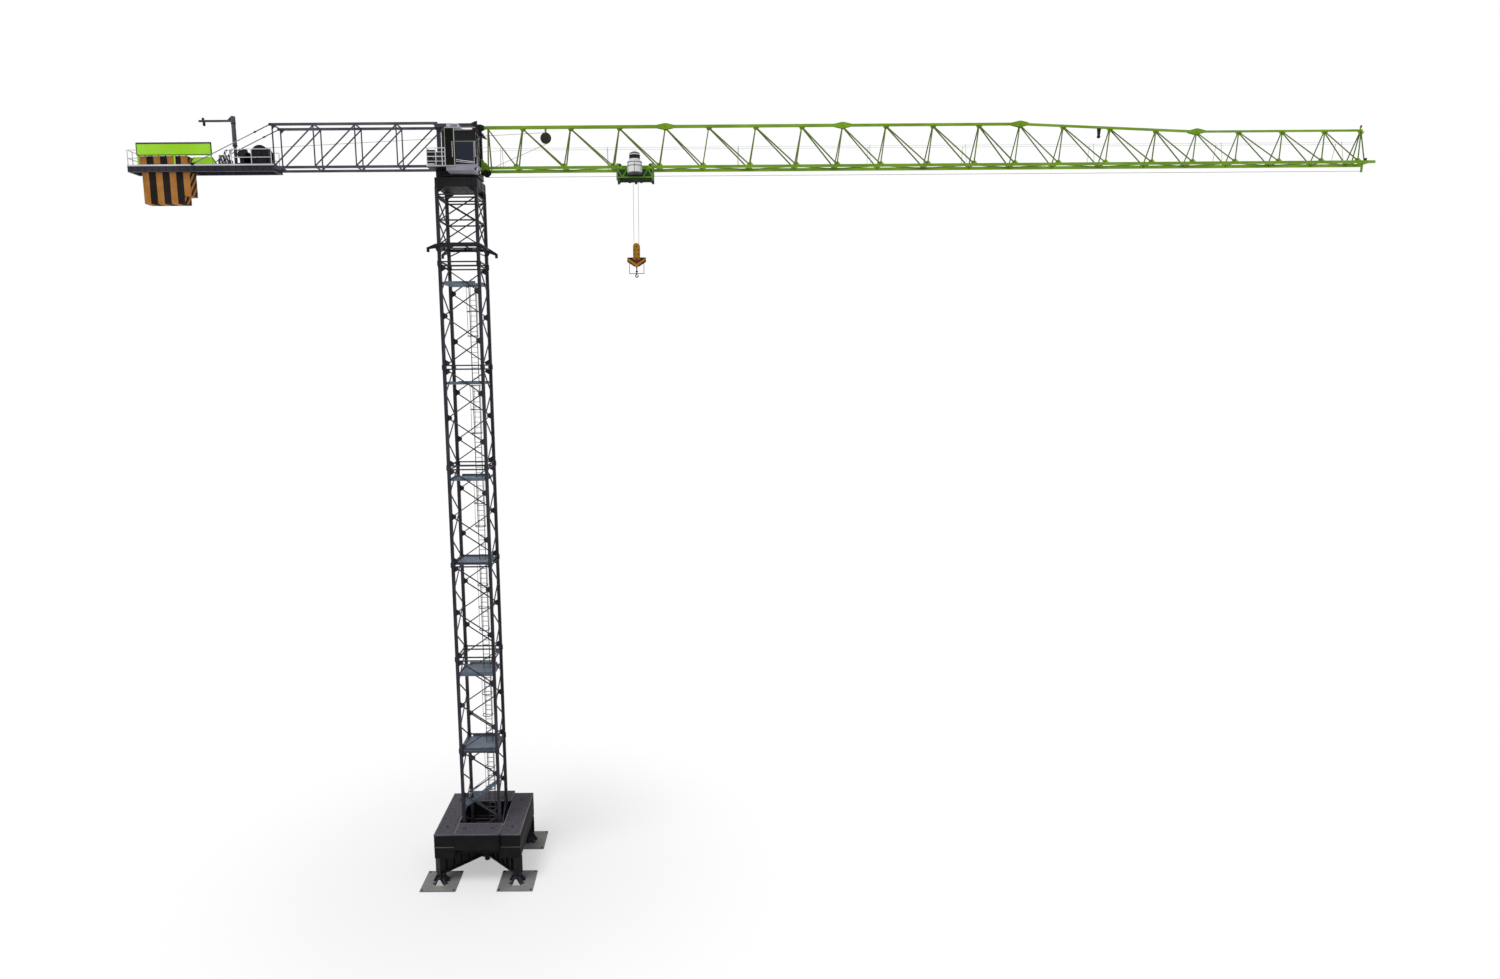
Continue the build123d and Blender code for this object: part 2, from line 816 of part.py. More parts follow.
def turret_frame():
    """Four posts, head beams, side bars, the cab's beam, and the lugs and beam that hold the jib."""
    half = turret_width / 2
    post = turret_post / 2
    pieces = []
    for x in (turret_rear, turret_front - turret_post):
        for y in (-half, half):
            pieces.append(block((x, y - post, turntable_top), (x + turret_post, y + post, turret_top)))
        low = turret_top - turret_post
        pieces.append(block((x, -half, low), (x + turret_post, half, turret_top)))
    for y in (-half, half):
        low = turret_top - turret_post
        pieces.append(block((turret_rear, y - post, low), (turret_front, y + post, turret_top)))
        middle = (turntable_top + turret_top) / 2
        start = (turret_rear + post, y, turntable_top + turret_post)
        pieces.append(bar(start, (turret_front - post, y, middle), turret_bar, turret_bar))
        start = (turret_front - post, y, middle)
        pieces.append(bar(start, (turret_rear + post, y, turret_top - post), turret_bar, turret_bar))
    low = (cab_rear, cab_far, turntable_top)
    pieces.append(block(low, (turret_front, -half - post, turntable_top + cab_bracket_height)))
    low = (turret_front - turret_post, -half, chord_low)
    pieces.append(block(low, (turret_front, half, chord_low + bottom_chord_height)))
    for side in (-1, 1):
        ends = sorted((side * top_chord_size / 2, side * (top_chord_size / 2 + turret_lug_thickness)))
        low = (turret_front, ends[0], top_chord_level - turret_lug_height / 2)
        high = (turret_front + turret_lug_reach, ends[1], top_chord_level + turret_lug_height / 2)
        pieces.append(block(low, high))
    return Part() + pieces


save("turret_frame", turret_frame())


# Cab
def cab_profile():
    """The side outline of the cab."""
    return [
        (cab_rear, cab_floor),
        (cab_front_foot, cab_floor),
        (cab_front, cab_floor + cab_skirt_height),
        (cab_front, cab_roof_front),
        (cab_rear, cab_roof),
    ]


def cab_width_plate(points):
    """A solid of a side outline, across the width of the cab."""
    face = make_face(Polyline(*points, close=True))
    return extrude(front_plane(cab_far) * face, cab_far - cab_near)


cab_window_rear = cab_rear + cab_panel_length + cab_post
cab_window_low = cab_floor + cab_skirt_height + cab_post
cab_window_top = cab_roof_front - cab_post


def side_window_outline():
    """The side window of the cab."""
    return [
        (cab_window_rear, cab_window_low),
        (cab_front - cab_post, cab_window_low),
        (cab_front - cab_post, cab_window_top),
        (cab_window_rear, cab_window_top),
    ]


def cab_shell():
    """The cab body with its sun visor, recessed at the windows."""
    visor_low = cab_roof_front - cab_visor_thickness
    tip = cab_front + cab_visor_reach
    visor = [
        (cab_front, cab_roof_front),
        (tip, cab_roof_front - cab_visor_drop),
        (tip, visor_low - cab_visor_drop),
        (cab_front, visor_low),
    ]
    shell = cab_width_plate(cab_profile()) + cab_width_plate(visor)
    side = make_face(Polyline(*side_window_outline(), close=True))
    shell -= extrude(front_plane(cab_near) * side, -cab_window_recess)
    low = (cab_front - cab_window_recess, cab_near + cab_post, cab_window_low)
    high = (cab_front + overrun, cab_far - cab_post, visor_low - cab_post)
    shell -= block(low, high)
    return shell


def cab_glass():
    """The panes of the cab, seated in the window recesses."""
    side = make_face(Polyline(*side_window_outline(), close=True))
    side_pane = extrude(front_plane(cab_near + cab_window_recess) * side, cab_window_recess / 2)
    visor_low = cab_roof_front - cab_visor_thickness
    low = (cab_front - cab_window_recess, cab_near + cab_post, cab_window_low)
    high = (cab_front - cab_window_recess / 2, cab_far - cab_post, visor_low - cab_post)
    return [side_pane, block(low, high)]


save("cab_shell", cab_shell())
save("cab_glass", cab_glass())
panel_low = (cab_rear, cab_near - cab_panel_thickness, cab_floor + cab_skirt_height)
panel_high = (cab_rear + cab_panel_length, cab_near, cab_roof - cab_post)
save("cab_side_panel", block(panel_low, panel_high))


# Service cabinet behind the cab
def service_platform():
    """A small deck with a handrail and a cabinet, on the near side behind the cab."""
    deck_low = turntable_top
    front = cab_rear - cab_post
    rear = front - service_deck_length
    near = cabinet_near
    far = -turret_width / 2 - turret_post / 2
    top = deck_low + service_deck_thickness
    pieces = [block((rear, near, deck_low), (front, far, top))]
    for x in (rear, (rear + front - rail_bar) / 2, front - rail_bar):
        pieces.append(block((x, near, top), (x + rail_bar, near + rail_bar, top + service_rail_height)))
    for level in (top + service_rail_height / 2, top + service_rail_height - rail_bar):
        pieces.append(block((rear, near, level), (front, near + rail_bar, level + rail_bar)))
    return Part() + pieces


save("service_platform", service_platform())
cabinet_low = turntable_top + service_deck_thickness
cabinet_far = cabinet_near + rail_bar + ladder_clearance + cabinet_width
service_rear = cab_rear - cab_post - service_deck_length
save("service_cabinet", block(
    (service_rear, cabinet_far - cabinet_width, cabinet_low),
    (service_rear + cabinet_length, cabinet_far, cabinet_low + cabinet_height)))


# Jib
def panel_places(start, length, shares):
    """Node places along one jib section."""
    places = [start]
    for share in shares:
        places.append(places[-1] + share * length)
    return places


jib_section_count = len(slimming_shares)
jib_starts = [jib_root + k * jib_section_length for k in range(jib_section_count)]
taper_start = jib_starts[level_section_count]
taper_end = taper_start + jib_section_length
section_tables = [section_shares] * jib_section_count
section_tables[0] = first_section_shares
section_tables[-1] = last_section_shares
jib_nodes = []
for start, shares, slim_share in zip(jib_starts, section_tables, slimming_shares):
    places = panel_places(start, jib_section_length, shares)
    jib_nodes += [(x, slim_share) for x in places[:-1]]
tip_node = places[-1]
jib_nodes.append((tip_node, slimming_shares[-1]))
jib_end = tip_node + tip_run


def top_level(x):
    """The height of the top chord's middle line at a place along the jib."""
    share = min(max((x - taper_start) / (taper_end - taper_start), 0), 1)
    return top_chord_level + share * (top_chord_tip_level - top_chord_level)


def jib_joint(start, half):
    """The two lug plates and the pin where two sections of the top chord meet."""
    level = top_level(start)
    outline = [
        (start - joint_lug_length / 2, level - half),
        (start - half, level - joint_lug_height / 2),
        (start + half, level - joint_lug_height / 2),
        (start + joint_lug_length / 2, level - half),
        (start + joint_lug_length / 2, level + half),
        (start + half, level + joint_lug_height / 2),
        (start - half, level + joint_lug_height / 2),
        (start - joint_lug_length / 2, level + half),
    ]
    reach = half + joint_lug_thickness + joint_pin_reach
    pieces = [rod_y(start, level, -reach, reach, joint_pin_radius)]
    for side in (-1, 1):
        plane = front_plane(side * (half + joint_lug_thickness / 2))
        pieces.append(outline_plate(outline, plane, joint_lug_thickness))
    return pieces


def jib_top_chord():
    """The top chord, level, then falling along one section, then level, slimmer in each section."""
    ends = jib_starts[1:] + [tip_node + top_chord_size / 2]
    starts = [turret_front + top_chord_gap] + jib_starts[1:]
    pieces = []
    for number, (start, end) in enumerate(zip(starts, ends)):
        half = slimming_shares[number] * top_chord_size / 2
        outline = [
            (start, top_level(start) - half),
            (end, top_level(end) - half),
            (end, top_level(end) + half),
            (start, top_level(start) + half),
        ]
        pieces.append(outline_plate(outline, front_plane(0), 2 * half))
        if number:
            pieces += jib_joint(start, slimming_shares[number - 1] * top_chord_size / 2)
    return Part() + pieces


def jib_bottom_chord(side):
    """A bottom chord with a root gusset, and the ledge outside it that the trolley runs on."""
    inner = jib_width / 2 - bottom_chord_width / 2
    outer = jib_width / 2 + bottom_chord_width / 2
    low = chord_low
    high = chord_low + bottom_chord_height
    section = [
        (side * inner, low),
        (side * (outer + rail_reach), low),
        (side * (outer + rail_reach), low + rail_thickness),
        (side * outer, low + rail_thickness),
        (side * outer, high),
        (side * inner, high),
    ]
    face = make_face(Polyline(*section, close=True))
    chord = extrude(side_plane(turret_front) * face, jib_end + tip_chord_run - turret_front)
    gusset = [
        (turret_front, high),
        (turret_front + root_gusset_length, high),
        (turret_front + root_gusset_length / 2, high + root_gusset_height),
        (turret_front, high + root_gusset_height),
    ]
    return chord + outline_plate(gusset, front_plane(side * jib_width / 2), root_gusset_thickness)


def jib_side(side, chord, rail):
    """One lattice side of the jib, cut to the faces of its chords."""
    foot_y = side * jib_width / 2
    foot_z = bottom_chord_level + bottom_chord_height / 2
    bars = []
    for k, (x, slim_share) in enumerate(jib_nodes):
        size = slim_share * side_bar
        head_y = side * (size + side_bar_gap) / 2
        head = (x, head_y, top_level(x) - slim_share * top_chord_size / 2)
        foot_x = x - side_lean if k else x + size / 2
        bars.append(bar((foot_x, foot_y, foot_z), head, size, size))
        if k + 1 < len(jib_nodes):
            next_foot = jib_nodes[k + 1][0] - side_lean
            bars.append(bar(head, (next_foot, foot_y, foot_z), size, size))
    bars.append(bar((tip_node, foot_y, foot_z), head, size, size))
    return (Part() + bars) - chord - rail


def jib_bottom_lacing():
    """Cross bars and a zigzag between the bottom chords."""
    half = jib_width / 2 - bottom_chord_width / 2
    feet = [x - side_lean for x, _ in jib_nodes[1:]]
    strips = [strip((feet[0], -half), (feet[0], half), lacing_bar)]
    for k in range(1, len(feet)):
        side = 1 if k % 2 else -1
        strips.append(strip((feet[k], -half), (feet[k], half), lacing_bar))
        strips.append(strip((feet[k - 1], -side * half), (feet[k], side * half), lacing_bar))
    window = Pos((feet[0] + feet[-1]) / 2, 0) * Rectangle(feet[-1] - feet[0] + lacing_bar, 2 * half)
    face = (Sketch() + strips) & window
    return extrude(Plane.XY.offset(bottom_chord_level) * face, lacing_bar / 2, both=True)


top_chord = jib_top_chord()
bottom_chords = [jib_bottom_chord(-1), jib_bottom_chord(1)]
save("jib_top_chord", top_chord)
save("jib_bottom_chords", bottom_chords)
save("jib_side_front", jib_side(-1, top_chord, bottom_chords[0]))
save("jib_side_rear", jib_side(1, top_chord, bottom_chords[1]))
save("jib_bottom_lacing", jib_bottom_lacing())


def jib_tip_frame():
    """The end frame of the jib, a cross beam and a rope anchor, and the light post on the chord."""
    half = jib_width / 2 - bottom_chord_width / 2
    beam_x = jib_end - tip_frame_bar
    beam = block((beam_x, -half, chord_low), (jib_end, half, chord_low + bottom_chord_height))
    anchor_half = rope_radius + sheave_width / 2
    anchor = block((beam_x, -anchor_half, rope_level - sheave_width), (jib_end, anchor_half, chord_low))
    top = top_level(tip_node) + slimming_shares[-1] * top_chord_size / 2
    post = block((tip_node - tip_post, -tip_post / 2, top), (tip_node, tip_post / 2, top + tip_post_overtop))
    return [beam + anchor, post]


save("jib_tip_frame", jib_tip_frame())


# Sheaves of the jib
def sheave(x, z, radius):
    """A grooved wheel on the middle plane of the jib."""
    rim = sheave_width / 2
    outline = [
        (0, -rim),
        (radius + sheave_groove, -rim),
        (radius, -rim / 2),
        (radius, rim / 2),
        (radius + sheave_groove, rim),
        (0, rim),
    ]
    face = make_face(Polyline(*outline, close=True))
    wheel = revolve(Plane.XY * face, Axis.Y)
    return Pos(x, 0, z) * wheel


def root_sheave():
    """The sheave hung under the top chord on two hanger plates."""
    wheel = sheave(root_sheave_x, root_sheave_level, root_sheave_radius)
    half = sheave_width / 2 + hanger_clearance
    outer = half + hanger_thickness
    pieces = [wheel, rod_y(root_sheave_x, root_sheave_level, -outer, outer, sheave_pin_radius)]
    top = top_chord_level - top_chord_size / 2
    low_z = root_sheave_level - root_hanger_width
    for side in (-1, 1):
        ends = sorted((side * half, side * outer))
        low = (root_sheave_x - root_hanger_width, ends[0], low_z)
        pieces.append(block(low, (root_sheave_x + root_hanger_width, ends[1], top)))
    return Part() + pieces


def guide_sheave():
    """The rope guide under the jib root, between guard plates on a cross pin."""
    wheel = sheave(guide_sheave_x, guide_sheave_level, guide_sheave_radius)
    pin_half = jib_width / 2 - bottom_chord_width / 2
    guide = wheel + rod_y(guide_sheave_x, guide_sheave_level, -pin_half, pin_half, sheave_pin_radius)
    guard_half = sheave_width / 2 + hanger_clearance
    low_z = guide_sheave_level - root_hanger_width
    for side in (-1, 1):
        ends = sorted((side * pin_half, side * (pin_half + hanger_thickness)))
        low = (guide_sheave_x - root_hanger_width, ends[0], low_z)
        guide += block(low, (guide_sheave_x + root_hanger_width, ends[1], chord_low))
        ends = sorted((side * guard_half, side * (guard_half + hanger_thickness)))
        low = (guide_sheave_x - guide_guard_length / 2, ends[0], low_z)
        guide += block(low, (guide_sheave_x + guide_guard_length / 2, ends[1], chord_low))
    return guide


root_sheave_level = top_chord_level - root_sheave_drop
guide_sheave_level = rope_level + rope_radius + guide_sheave_radius
save("jib_root_sheave", root_sheave())
save("jib_guide_sheave", guide_sheave())


# Counter-jib truss
def truss_side(side):
    """One lattice side of the counter-jib between its chords."""
    low = truss_bottom_level + truss_bottom_chord / 2
    high = truss_top_level - truss_top_chord / 2
    panel = truss_length / truss_panel_count
    strips = []
    for k in range(truss_panel_count + 1):
        x = truss_end + k * panel
        if k == 0:
            x += truss_bar / 2
        if k == truss_panel_count:
            x -= truss_bar / 2
        strips.append(strip((x, low), (x, high), truss_bar))
    for k in range(truss_panel_count):
        x = truss_end + k * panel
        strips.append(strip((x, low), (x + panel, high), truss_bar))
    for x, inward in ((truss_end, truss_cheek), (truss_root, -truss_cheek)):
        for z, away in ((low, truss_cheek), (high, -truss_cheek)):
            strips.append(make_face(Polyline((x, z), (x + inward, z), (x, z + away), close=True)))
    window = Pos((truss_end + truss_root) / 2, (low + high) / 2) * Rectangle(truss_length, high - low)
    face = (Sketch() + strips) & window
    return extrude(front_plane(side * truss_width / 2) * face, truss_bar / 2, both=True)


def truss_chord(side, level, size):
    """One chord of the counter-jib."""
    y = side * truss_width / 2
    half = size / 2
    return block((truss_end, y - half, level - half), (truss_root, y + half, level + half))


def truss_cross_bars(level, size):
    """Cross bars between the two chords of a level."""
    half = truss_width / 2 - size / 2
    panel = truss_length / truss_panel_count
    bars = []
    for k in range(truss_panel_count + 1):
        x = truss_end + k * panel
        x = min(max(x, truss_end + truss_bar / 2), truss_root - truss_bar / 2)
        low = (x - truss_bar / 2, -half, level - truss_bar / 2)
        bars.append(block(low, (x + truss_bar / 2, half, level + truss_bar / 2)))
    return bars


def truss_level(level, size):
    """Both chords of a level with their cross bars."""
    pieces = [truss_chord(-1, level, size), truss_chord(1, level, size)]
    return Part() + (pieces + truss_cross_bars(level, size))


save("counterjib_top_chords", truss_level(truss_top_level, truss_top_chord))
save("counterjib_bottom_chords", truss_level(truss_bottom_level, truss_bottom_chord))
save("counterjib_side_front", truss_side(-1))
save("counterjib_side_rear", truss_side(1))

# Counter-jib deck
slab_first = deck_rear + slab_setback
slab_last = slab_first + slab_count * slab_pitch


def counterjib_deck():
    """Two side beams, cross beams and a floor with an opening for the counterweights."""
    half = half_deck
    pieces = []
    front = truss_end
    for side in (-1, 1):
        y = side * (half - deck_beam / 2)
        low = (deck_rear, y - deck_beam / 2, deck_underside)
        pieces.append(block(low, (front, y + deck_beam / 2, deck_top)))
    for x in (deck_rear, slab_last + slab_clearance, front - deck_beam):
        pieces.append(block((x, -half, deck_underside), (x + deck_beam, half, deck_top)))
    floor_low = deck_top - deck_plate
    pieces.append(block((slab_last + slab_clearance, -half, floor_low), (front, half, deck_top)))
    return Part() + pieces


save("counterjib_deck", counterjib_deck())


def tie_bar_side(side):
    """A straight tie outside the deck, from a lug on the truss end down to a lug on the deck."""
    head_y = side * (truss_width / 2 + tie_gap + tie_bar / 2)
    foot_y = side * (half_deck + tie_gap + tie_bar / 2)
    foot_x = truss_end - tie_run
    head = Vector(truss_end - tie_lug / 2, head_y, truss_top_level)
    foot = Vector(foot_x, foot_y, deck_top + tie_lug / 2)
    along = (foot - head).normalized()
    pieces = [bar(head, foot, tie_bar, tie_bar)]
    pin_start = head + along * (tie_stub - tie_lug / 2)
    pin_end = head + along * (tie_stub + tie_lug / 2)
    pieces.append(bar(pin_start, pin_end, tie_lug / 2, tie_lug_thickness))
    half = tie_bar / 2 + tie_gap
    ends = sorted((head_y - side * (tie_gap + tie_bar), head_y + side * half))
    low = (truss_end - tie_lug, ends[0], truss_top_level - tie_lug / 2)
    pieces.append(block(low, (truss_end, ends[1], truss_top_level + tie_lug / 2)))
    ends = sorted((foot_y - side * (tie_gap + tie_bar), foot_y + side * half))
    low = (foot_x - tie_lug / 2, ends[0], deck_top)
    pieces.append(block(low, (foot_x + tie_lug / 2, ends[1], deck_top + tie_lug)))
    return Part() + pieces


save("tie_bars", [tie_bar_side(-1), tie_bar_side(1)])


# Counterweights
def slab(number):
    """A T-shaped slab: ears that rest on the deck beams and a body that hangs between them."""
    x = slab_first + number * slab_pitch
    drop = slab_short_drop if number == slab_count - 1 else slab_drop
    foot = deck_top - drop
    slab_top = deck_top + slab_ear_height
    half_ear = slab_ear_width / 2
    half_body = slab_body_width / 2
    outline = [
        (-half_ear, deck_top),
        (-half_body, deck_top),
        (-half_body, foot),
        (half_body, foot),
        (half_body, deck_top),
        (half_ear, deck_top),
        (half_ear, slab_top),
        (-half_ear, slab_top),
    ]
    face = make_face(Polyline(*outline, close=True))
    return extrude(side_plane(x) * face, slab_thickness)


save("counterweights", [slab(number) for number in range(slab_count)])

# Sign board
sign_rear = deck_rear + sign_setback
sign_front = sign_rear + sign_length
sign_foot = deck_top + sign_rise


def sign_board():
    """A bare board on posts along the near edge of the deck."""
    near = -half_deck
    board = block((sign_rear, near, sign_foot), (sign_front, near + sign_thickness, sign_foot + sign_height))
    for x in (sign_rear, (sign_rear + sign_front - sign_post) / 2, sign_front - sign_post):
        board += block((x, near, deck_top), (x + sign_post, near + sign_thickness, sign_foot))
    return board


def low_board():
    """A lower bare board with sloping ends, behind the posts of the sign board."""
    rear = deck_rear + low_board_setback
    front = rear + low_board_length
    top = deck_top + low_board_height
    outline = [
        (rear, deck_top),
        (front, deck_top),
        (front - low_board_slope, top),
        (rear + low_board_slope, top),
    ]
    plane = front_plane(-half_deck + sign_thickness + sign_thickness / 2)
    return outline_plate(outline, plane, sign_thickness)


save("sign_board", sign_board())
save("low_board", low_board())


# Hoist winch
winch_front = truss_end - winch_setback
winch_axis_x = winch_front - drum_flange_radius
winch_axis_level = deck_top + winch_base + drum_flange_radius + winch_gap


def hoist_winch():
    """A base frame with two side plates for the drum, and the motor on its bed behind."""
    half = drum_length / 2
    winch_rear = winch_front - winch_length
    base_top = deck_top + winch_base
    pieces = [block((winch_rear, -winch_width / 2, deck_top), (winch_front, winch_width / 2, base_top))]
    for side in (-1, 1):
        inner = side * (half + drum_flange + winch_gap)
        outer = inner + side * drum_flange
        plate = [
            (winch_axis_x - drum_flange_radius, base_top),
            (winch_axis_x + drum_flange_radius, base_top),
            (winch_axis_x + sheave_width, winch_axis_level + sheave_width),
            (winch_axis_x - sheave_width, winch_axis_level + sheave_width),
        ]
        pieces.append(outline_plate(plate, front_plane((inner + outer) / 2), drum_flange))
    motor_x = winch_rear + winch_motor_radius
    motor_level = base_top + winch_motor_rise + winch_motor_radius
    motor_half = winch_motor_length / 2
    pieces.append(rod_y(motor_x, motor_level, -motor_half, motor_half, winch_motor_radius))
    bed_half = winch_motor_radius / 2
    low = (motor_x - bed_half, -motor_half, base_top)
    pieces.append(block(low, (motor_x + bed_half, motor_half, motor_level)))
    return Part() + pieces


def hoist_drum():
    """The drum with its flanges, on a shaft between the side plates."""
    half = drum_length / 2
    drum = rod_y(winch_axis_x, winch_axis_level, -half, half, drum_radius)
    for side in (-1, 1):
        low = min(side * half, side * (half + drum_flange))
        drum += rod_y(winch_axis_x, winch_axis_level, low, low + drum_flange, drum_flange_radius)
    reach = half + drum_flange + winch_gap
    return drum + rod_y(winch_axis_x, winch_axis_level, -reach, reach, sheave_pin_radius)


save("hoist_winch", hoist_winch() + hoist_drum())
switch_front = truss_end - switch_setback
switch_low = (switch_front - switch_length, -switch_width / 2, deck_top)
switch_high = (switch_front, switch_width / 2, deck_top + switch_height)
save("switch_cabinet", block(switch_low, switch_high))


# Handrails
def rail_run(points, base):
    """Posts and two rails along a line of points on a floor."""
    pieces = []
    half = rail_bar / 2
    for x, y in points:
        pieces.append(block((x - half, y - half, base), (x + half, y + half, base + rail_height)))
    for (x0, y0), (x1, y1) in zip(points, points[1:]):
        for level in (base + rail_height / 2, base + rail_height):
            low = (min(x0, x1) - half, min(y0, y1) - half, level - rail_bar)
            pieces.append(block(low, (max(x0, x1) + half, max(y0, y1) + half, level)))
    return Part() + pieces


def handrails():
    """Rails round the rear end of the deck and beside the winch."""
    edge = half_deck - rail_bar / 2
    rear = deck_rear + rail_bar / 2
    turn = slab_first - slab_clearance
    front = truss_end - deck_beam
    middle = (front + davit_x) / 2
    near_run = [(davit_x, -edge), (middle, -edge), (front, -edge)]
    far_run = [(davit_x, edge), (middle, edge), (front, edge)]
    near = -edge + sign_thickness
    loop = [(turn, near), (rear, near), (rear, 0), (rear, edge), (turn, edge)]
    return [rail_run(near_run, deck_top), rail_run(far_run, deck_top), rail_run(loop, deck_top)]


save("counterjib_handrails", handrails())

# Davit
def davit_post():
    """A post on a foot plate, slimmer below, with a stub at its head that the arm turns on."""
    half_foot = davit_foot_width / 2
    neck_top = deck_top + davit_neck_height
    foot = block((davit_x - half_foot, -half_foot, deck_top),
                 (davit_x + half_foot, half_foot, deck_top + davit_foot_thickness))
    neck = rod_z(davit_x, 0, deck_top, neck_top, davit_neck_radius)
    post = rod_z(davit_x, 0, neck_top, davit_seat, davit_post_radius)
    stub = rod_z(davit_x, 0, davit_seat, davit_seat + davit_stub_height, davit_stub_radius)
    return foot + neck + post + stub


def davit_arm():
    """The arm with its sleeve over the stub and a stop at the far end."""
    low = davit_seat + slew_seat_gap
    high = davit_seat + davit_stub_height
    level = (low + high) / 2
    arm_bar = davit_arm_bar / 2
    arm = block((davit_x - davit_arm_length, -arm_bar, level - arm_bar), (davit_x, arm_bar, level + arm_bar))
    arm += rod_z(davit_x, 0, low, high + davit_knob, davit_sleeve_radius)
    arm -= rod_z(davit_x, 0, low - overrun, high + davit_clearance, davit_stub_radius + davit_clearance)
    knob_x = davit_x - davit_arm_length + davit_knob * 2
    arm += rod_z(knob_x, 0, level, level + arm_bar + davit_knob, davit_stub_radius)
    return arm


save("davit_post", davit_post())
save("davit_arm", davit_arm())

# Trolley
rail_top = chord_low + rail_thickness
trolley_underside = chord_low - trolley_depth
wheel_level = rail_top + wheel_rail_gap + wheel_radius
wheel_inner = jib_width / 2 + bottom_chord_width / 2 + wheel_gap
wheel_outer = wheel_inner + wheel_width
plate_inner = wheel_outer + trolley_plate_gap
plate_outer = plate_inner + trolley_plate
wheel_reach = trolley_length / 2 - wheel_setback
reel_y = -(plate_outer + reel_gap + reel_radius)
frame_top = chord_low - trolley_chord_clearance


def trolley_side(side):
    """A side plate with an ear up beside each wheel."""
    half = trolley_length / 2
    ear = wheel_setback
    outline = [
        (-half, frame_top),
        (-half, wheel_level + wheel_radius),
        (-half + ear, wheel_level + wheel_radius),
        (-half + 2 * ear, frame_top),
        (half - 2 * ear, frame_top),
        (half - ear, wheel_level + wheel_radius),
        (half, wheel_level + wheel_radius),
        (half, frame_top),
        (half, trolley_underside),
        (half - trolley_prong, trolley_underside),
        (half - 2 * trolley_prong, trolley_underside + trolley_skirt_drop / 2),
        (trolley_prong, trolley_underside + trolley_skirt_drop / 2),
        (trolley_prong / 2, trolley_underside),
        (-trolley_prong / 2, trolley_underside),
        (-trolley_prong, trolley_underside + trolley_skirt_drop / 2),
        (-half + 2 * trolley_prong, trolley_underside + trolley_skirt_drop / 2),
        (-half + trolley_prong, trolley_underside),
        (-half, trolley_underside),
    ]
    moved = [(trolley_x + x, z) for x, z in outline]
    return outline_plate(moved, front_plane(side * (plate_inner + plate_outer) / 2), trolley_plate)


def trolley_frame():
    """Two side plates joined by cross beams under the bottom chords."""
    half = trolley_length / 2
    low = trolley_underside + trolley_skirt_drop / 2
    pieces = [trolley_side(-1), trolley_side(1)]
    for x in (trolley_x - half, trolley_x + half - trolley_beam):
        pieces.append(block((x, -plate_inner, low), (x + trolley_beam, plate_inner, low + trolley_beam)))
    for side in (-1, 1):
        inner = side * (sheave_width / 2 + hanger_clearance)
        outer = inner + side * hanger_thickness
        low_y, high_y = min(inner, outer), max(inner, outer)
        pieces.append(block((trolley_x - half, low_y, low), (trolley_x + half, high_y, low + trolley_beam)))
    return Part() + pieces


def trolley_wheels():
    """Four wheels on the ledges, each with its axle in a side plate."""
    wheels = []
    for x in (trolley_x - wheel_reach, trolley_x + wheel_reach):
        for side in (-1, 1):
            ends = sorted((side * wheel_inner, side * wheel_outer))
            wheel = rod_y(x, wheel_level, ends[0], ends[1], wheel_radius)
            ends = sorted((side * wheel_outer, side * plate_inner))
            wheels.append(wheel + rod_y(x, wheel_level, ends[0], ends[1], wheel_axle_radius))
    return wheels


trolley_sheave_level = rope_level - rope_radius - wheel_rail_gap - trolley_sheave_radius


def trolley_sheaves():
    """Two sheaves that turn the hoist rope down to the hook block."""
    wheels = []
    half = sheave_width / 2 + hanger_clearance
    for side in (-1, 1):
        x = trolley_x + side * trolley_sheave_offset
        wheel = sheave(x, trolley_sheave_level, trolley_sheave_radius)
        wheels.append(wheel + rod_y(x, trolley_sheave_level, -half, half, sheave_pin_radius))
    return wheels


def reel_housing():
    """A round two-step housing on a shelf outside the near side plate."""
    shelf_low = trolley_underside + trolley_skirt_drop
    shelf = block((trolley_x - reel_radius, reel_y, shelf_low),
                  (trolley_x + reel_radius, -plate_outer, shelf_low + reel_shelf))
    low = shelf_low + reel_shelf
    shelf += rod_z(trolley_x, reel_y, shelf_low, low, reel_radius)
    shelf += rod_z(trolley_x, reel_y, low, low + reel_height, reel_radius)
    head = rod_z(trolley_x, reel_y, low + reel_height, low + reel_height + reel_head_height, reel_head_radius)
    head = fillet(head.edges().sort_by(Axis.Z)[-1], reel_head_radius / 2)
    return shelf + head


save("trolley_frame", trolley_frame())
save("trolley_wheels", trolley_wheels())
save("trolley_sheaves", trolley_sheaves())
save("trolley_reel_housing", reel_housing())

# Hook block
fall_reach = trolley_sheave_offset - trolley_sheave_radius - rope_radius
block_top = trolley_underside - block_hang
block_low = block_top - housing_height
block_sheave_level = block_top - housing_width / 2
cheek_low = block_low - cheek_height
guard_low = cheek_low - guard_drop
hook_bowl_level = guard_low - hook_bowl_drop


def block_housing():
    """A round-topped housing with a slot for the sheave and its rope."""
    half = housing_width / 2
    face = Pos(trolley_x, (block_low + block_sheave_level) / 2) * Rectangle(
        housing_width, block_sheave_level - block_low)
    face += Pos(trolley_x, block_sheave_level) * Circle(half)
    shell = extrude(front_plane(0) * face, housing_depth / 2, both=True)
    slot_half = housing_slot / 2
    low = (trolley_x - half - overrun, -slot_half, block_low + cheek_depth)
    return shell - block(low, (trolley_x + half + overrun, slot_half, block_top + overrun))


def block_sheave():
    """The sheave of the hook block on its pin."""
    radius = fall_reach - rope_radius - wheel_rail_gap
    wheel = Pos(trolley_x, 0, block_sheave_level) * Rot(90, 0, 0) * Cylinder(radius, sheave_width)
    half = housing_slot / 2
    return wheel + rod_y(trolley_x, block_sheave_level, -half, half, sheave_pin_radius)


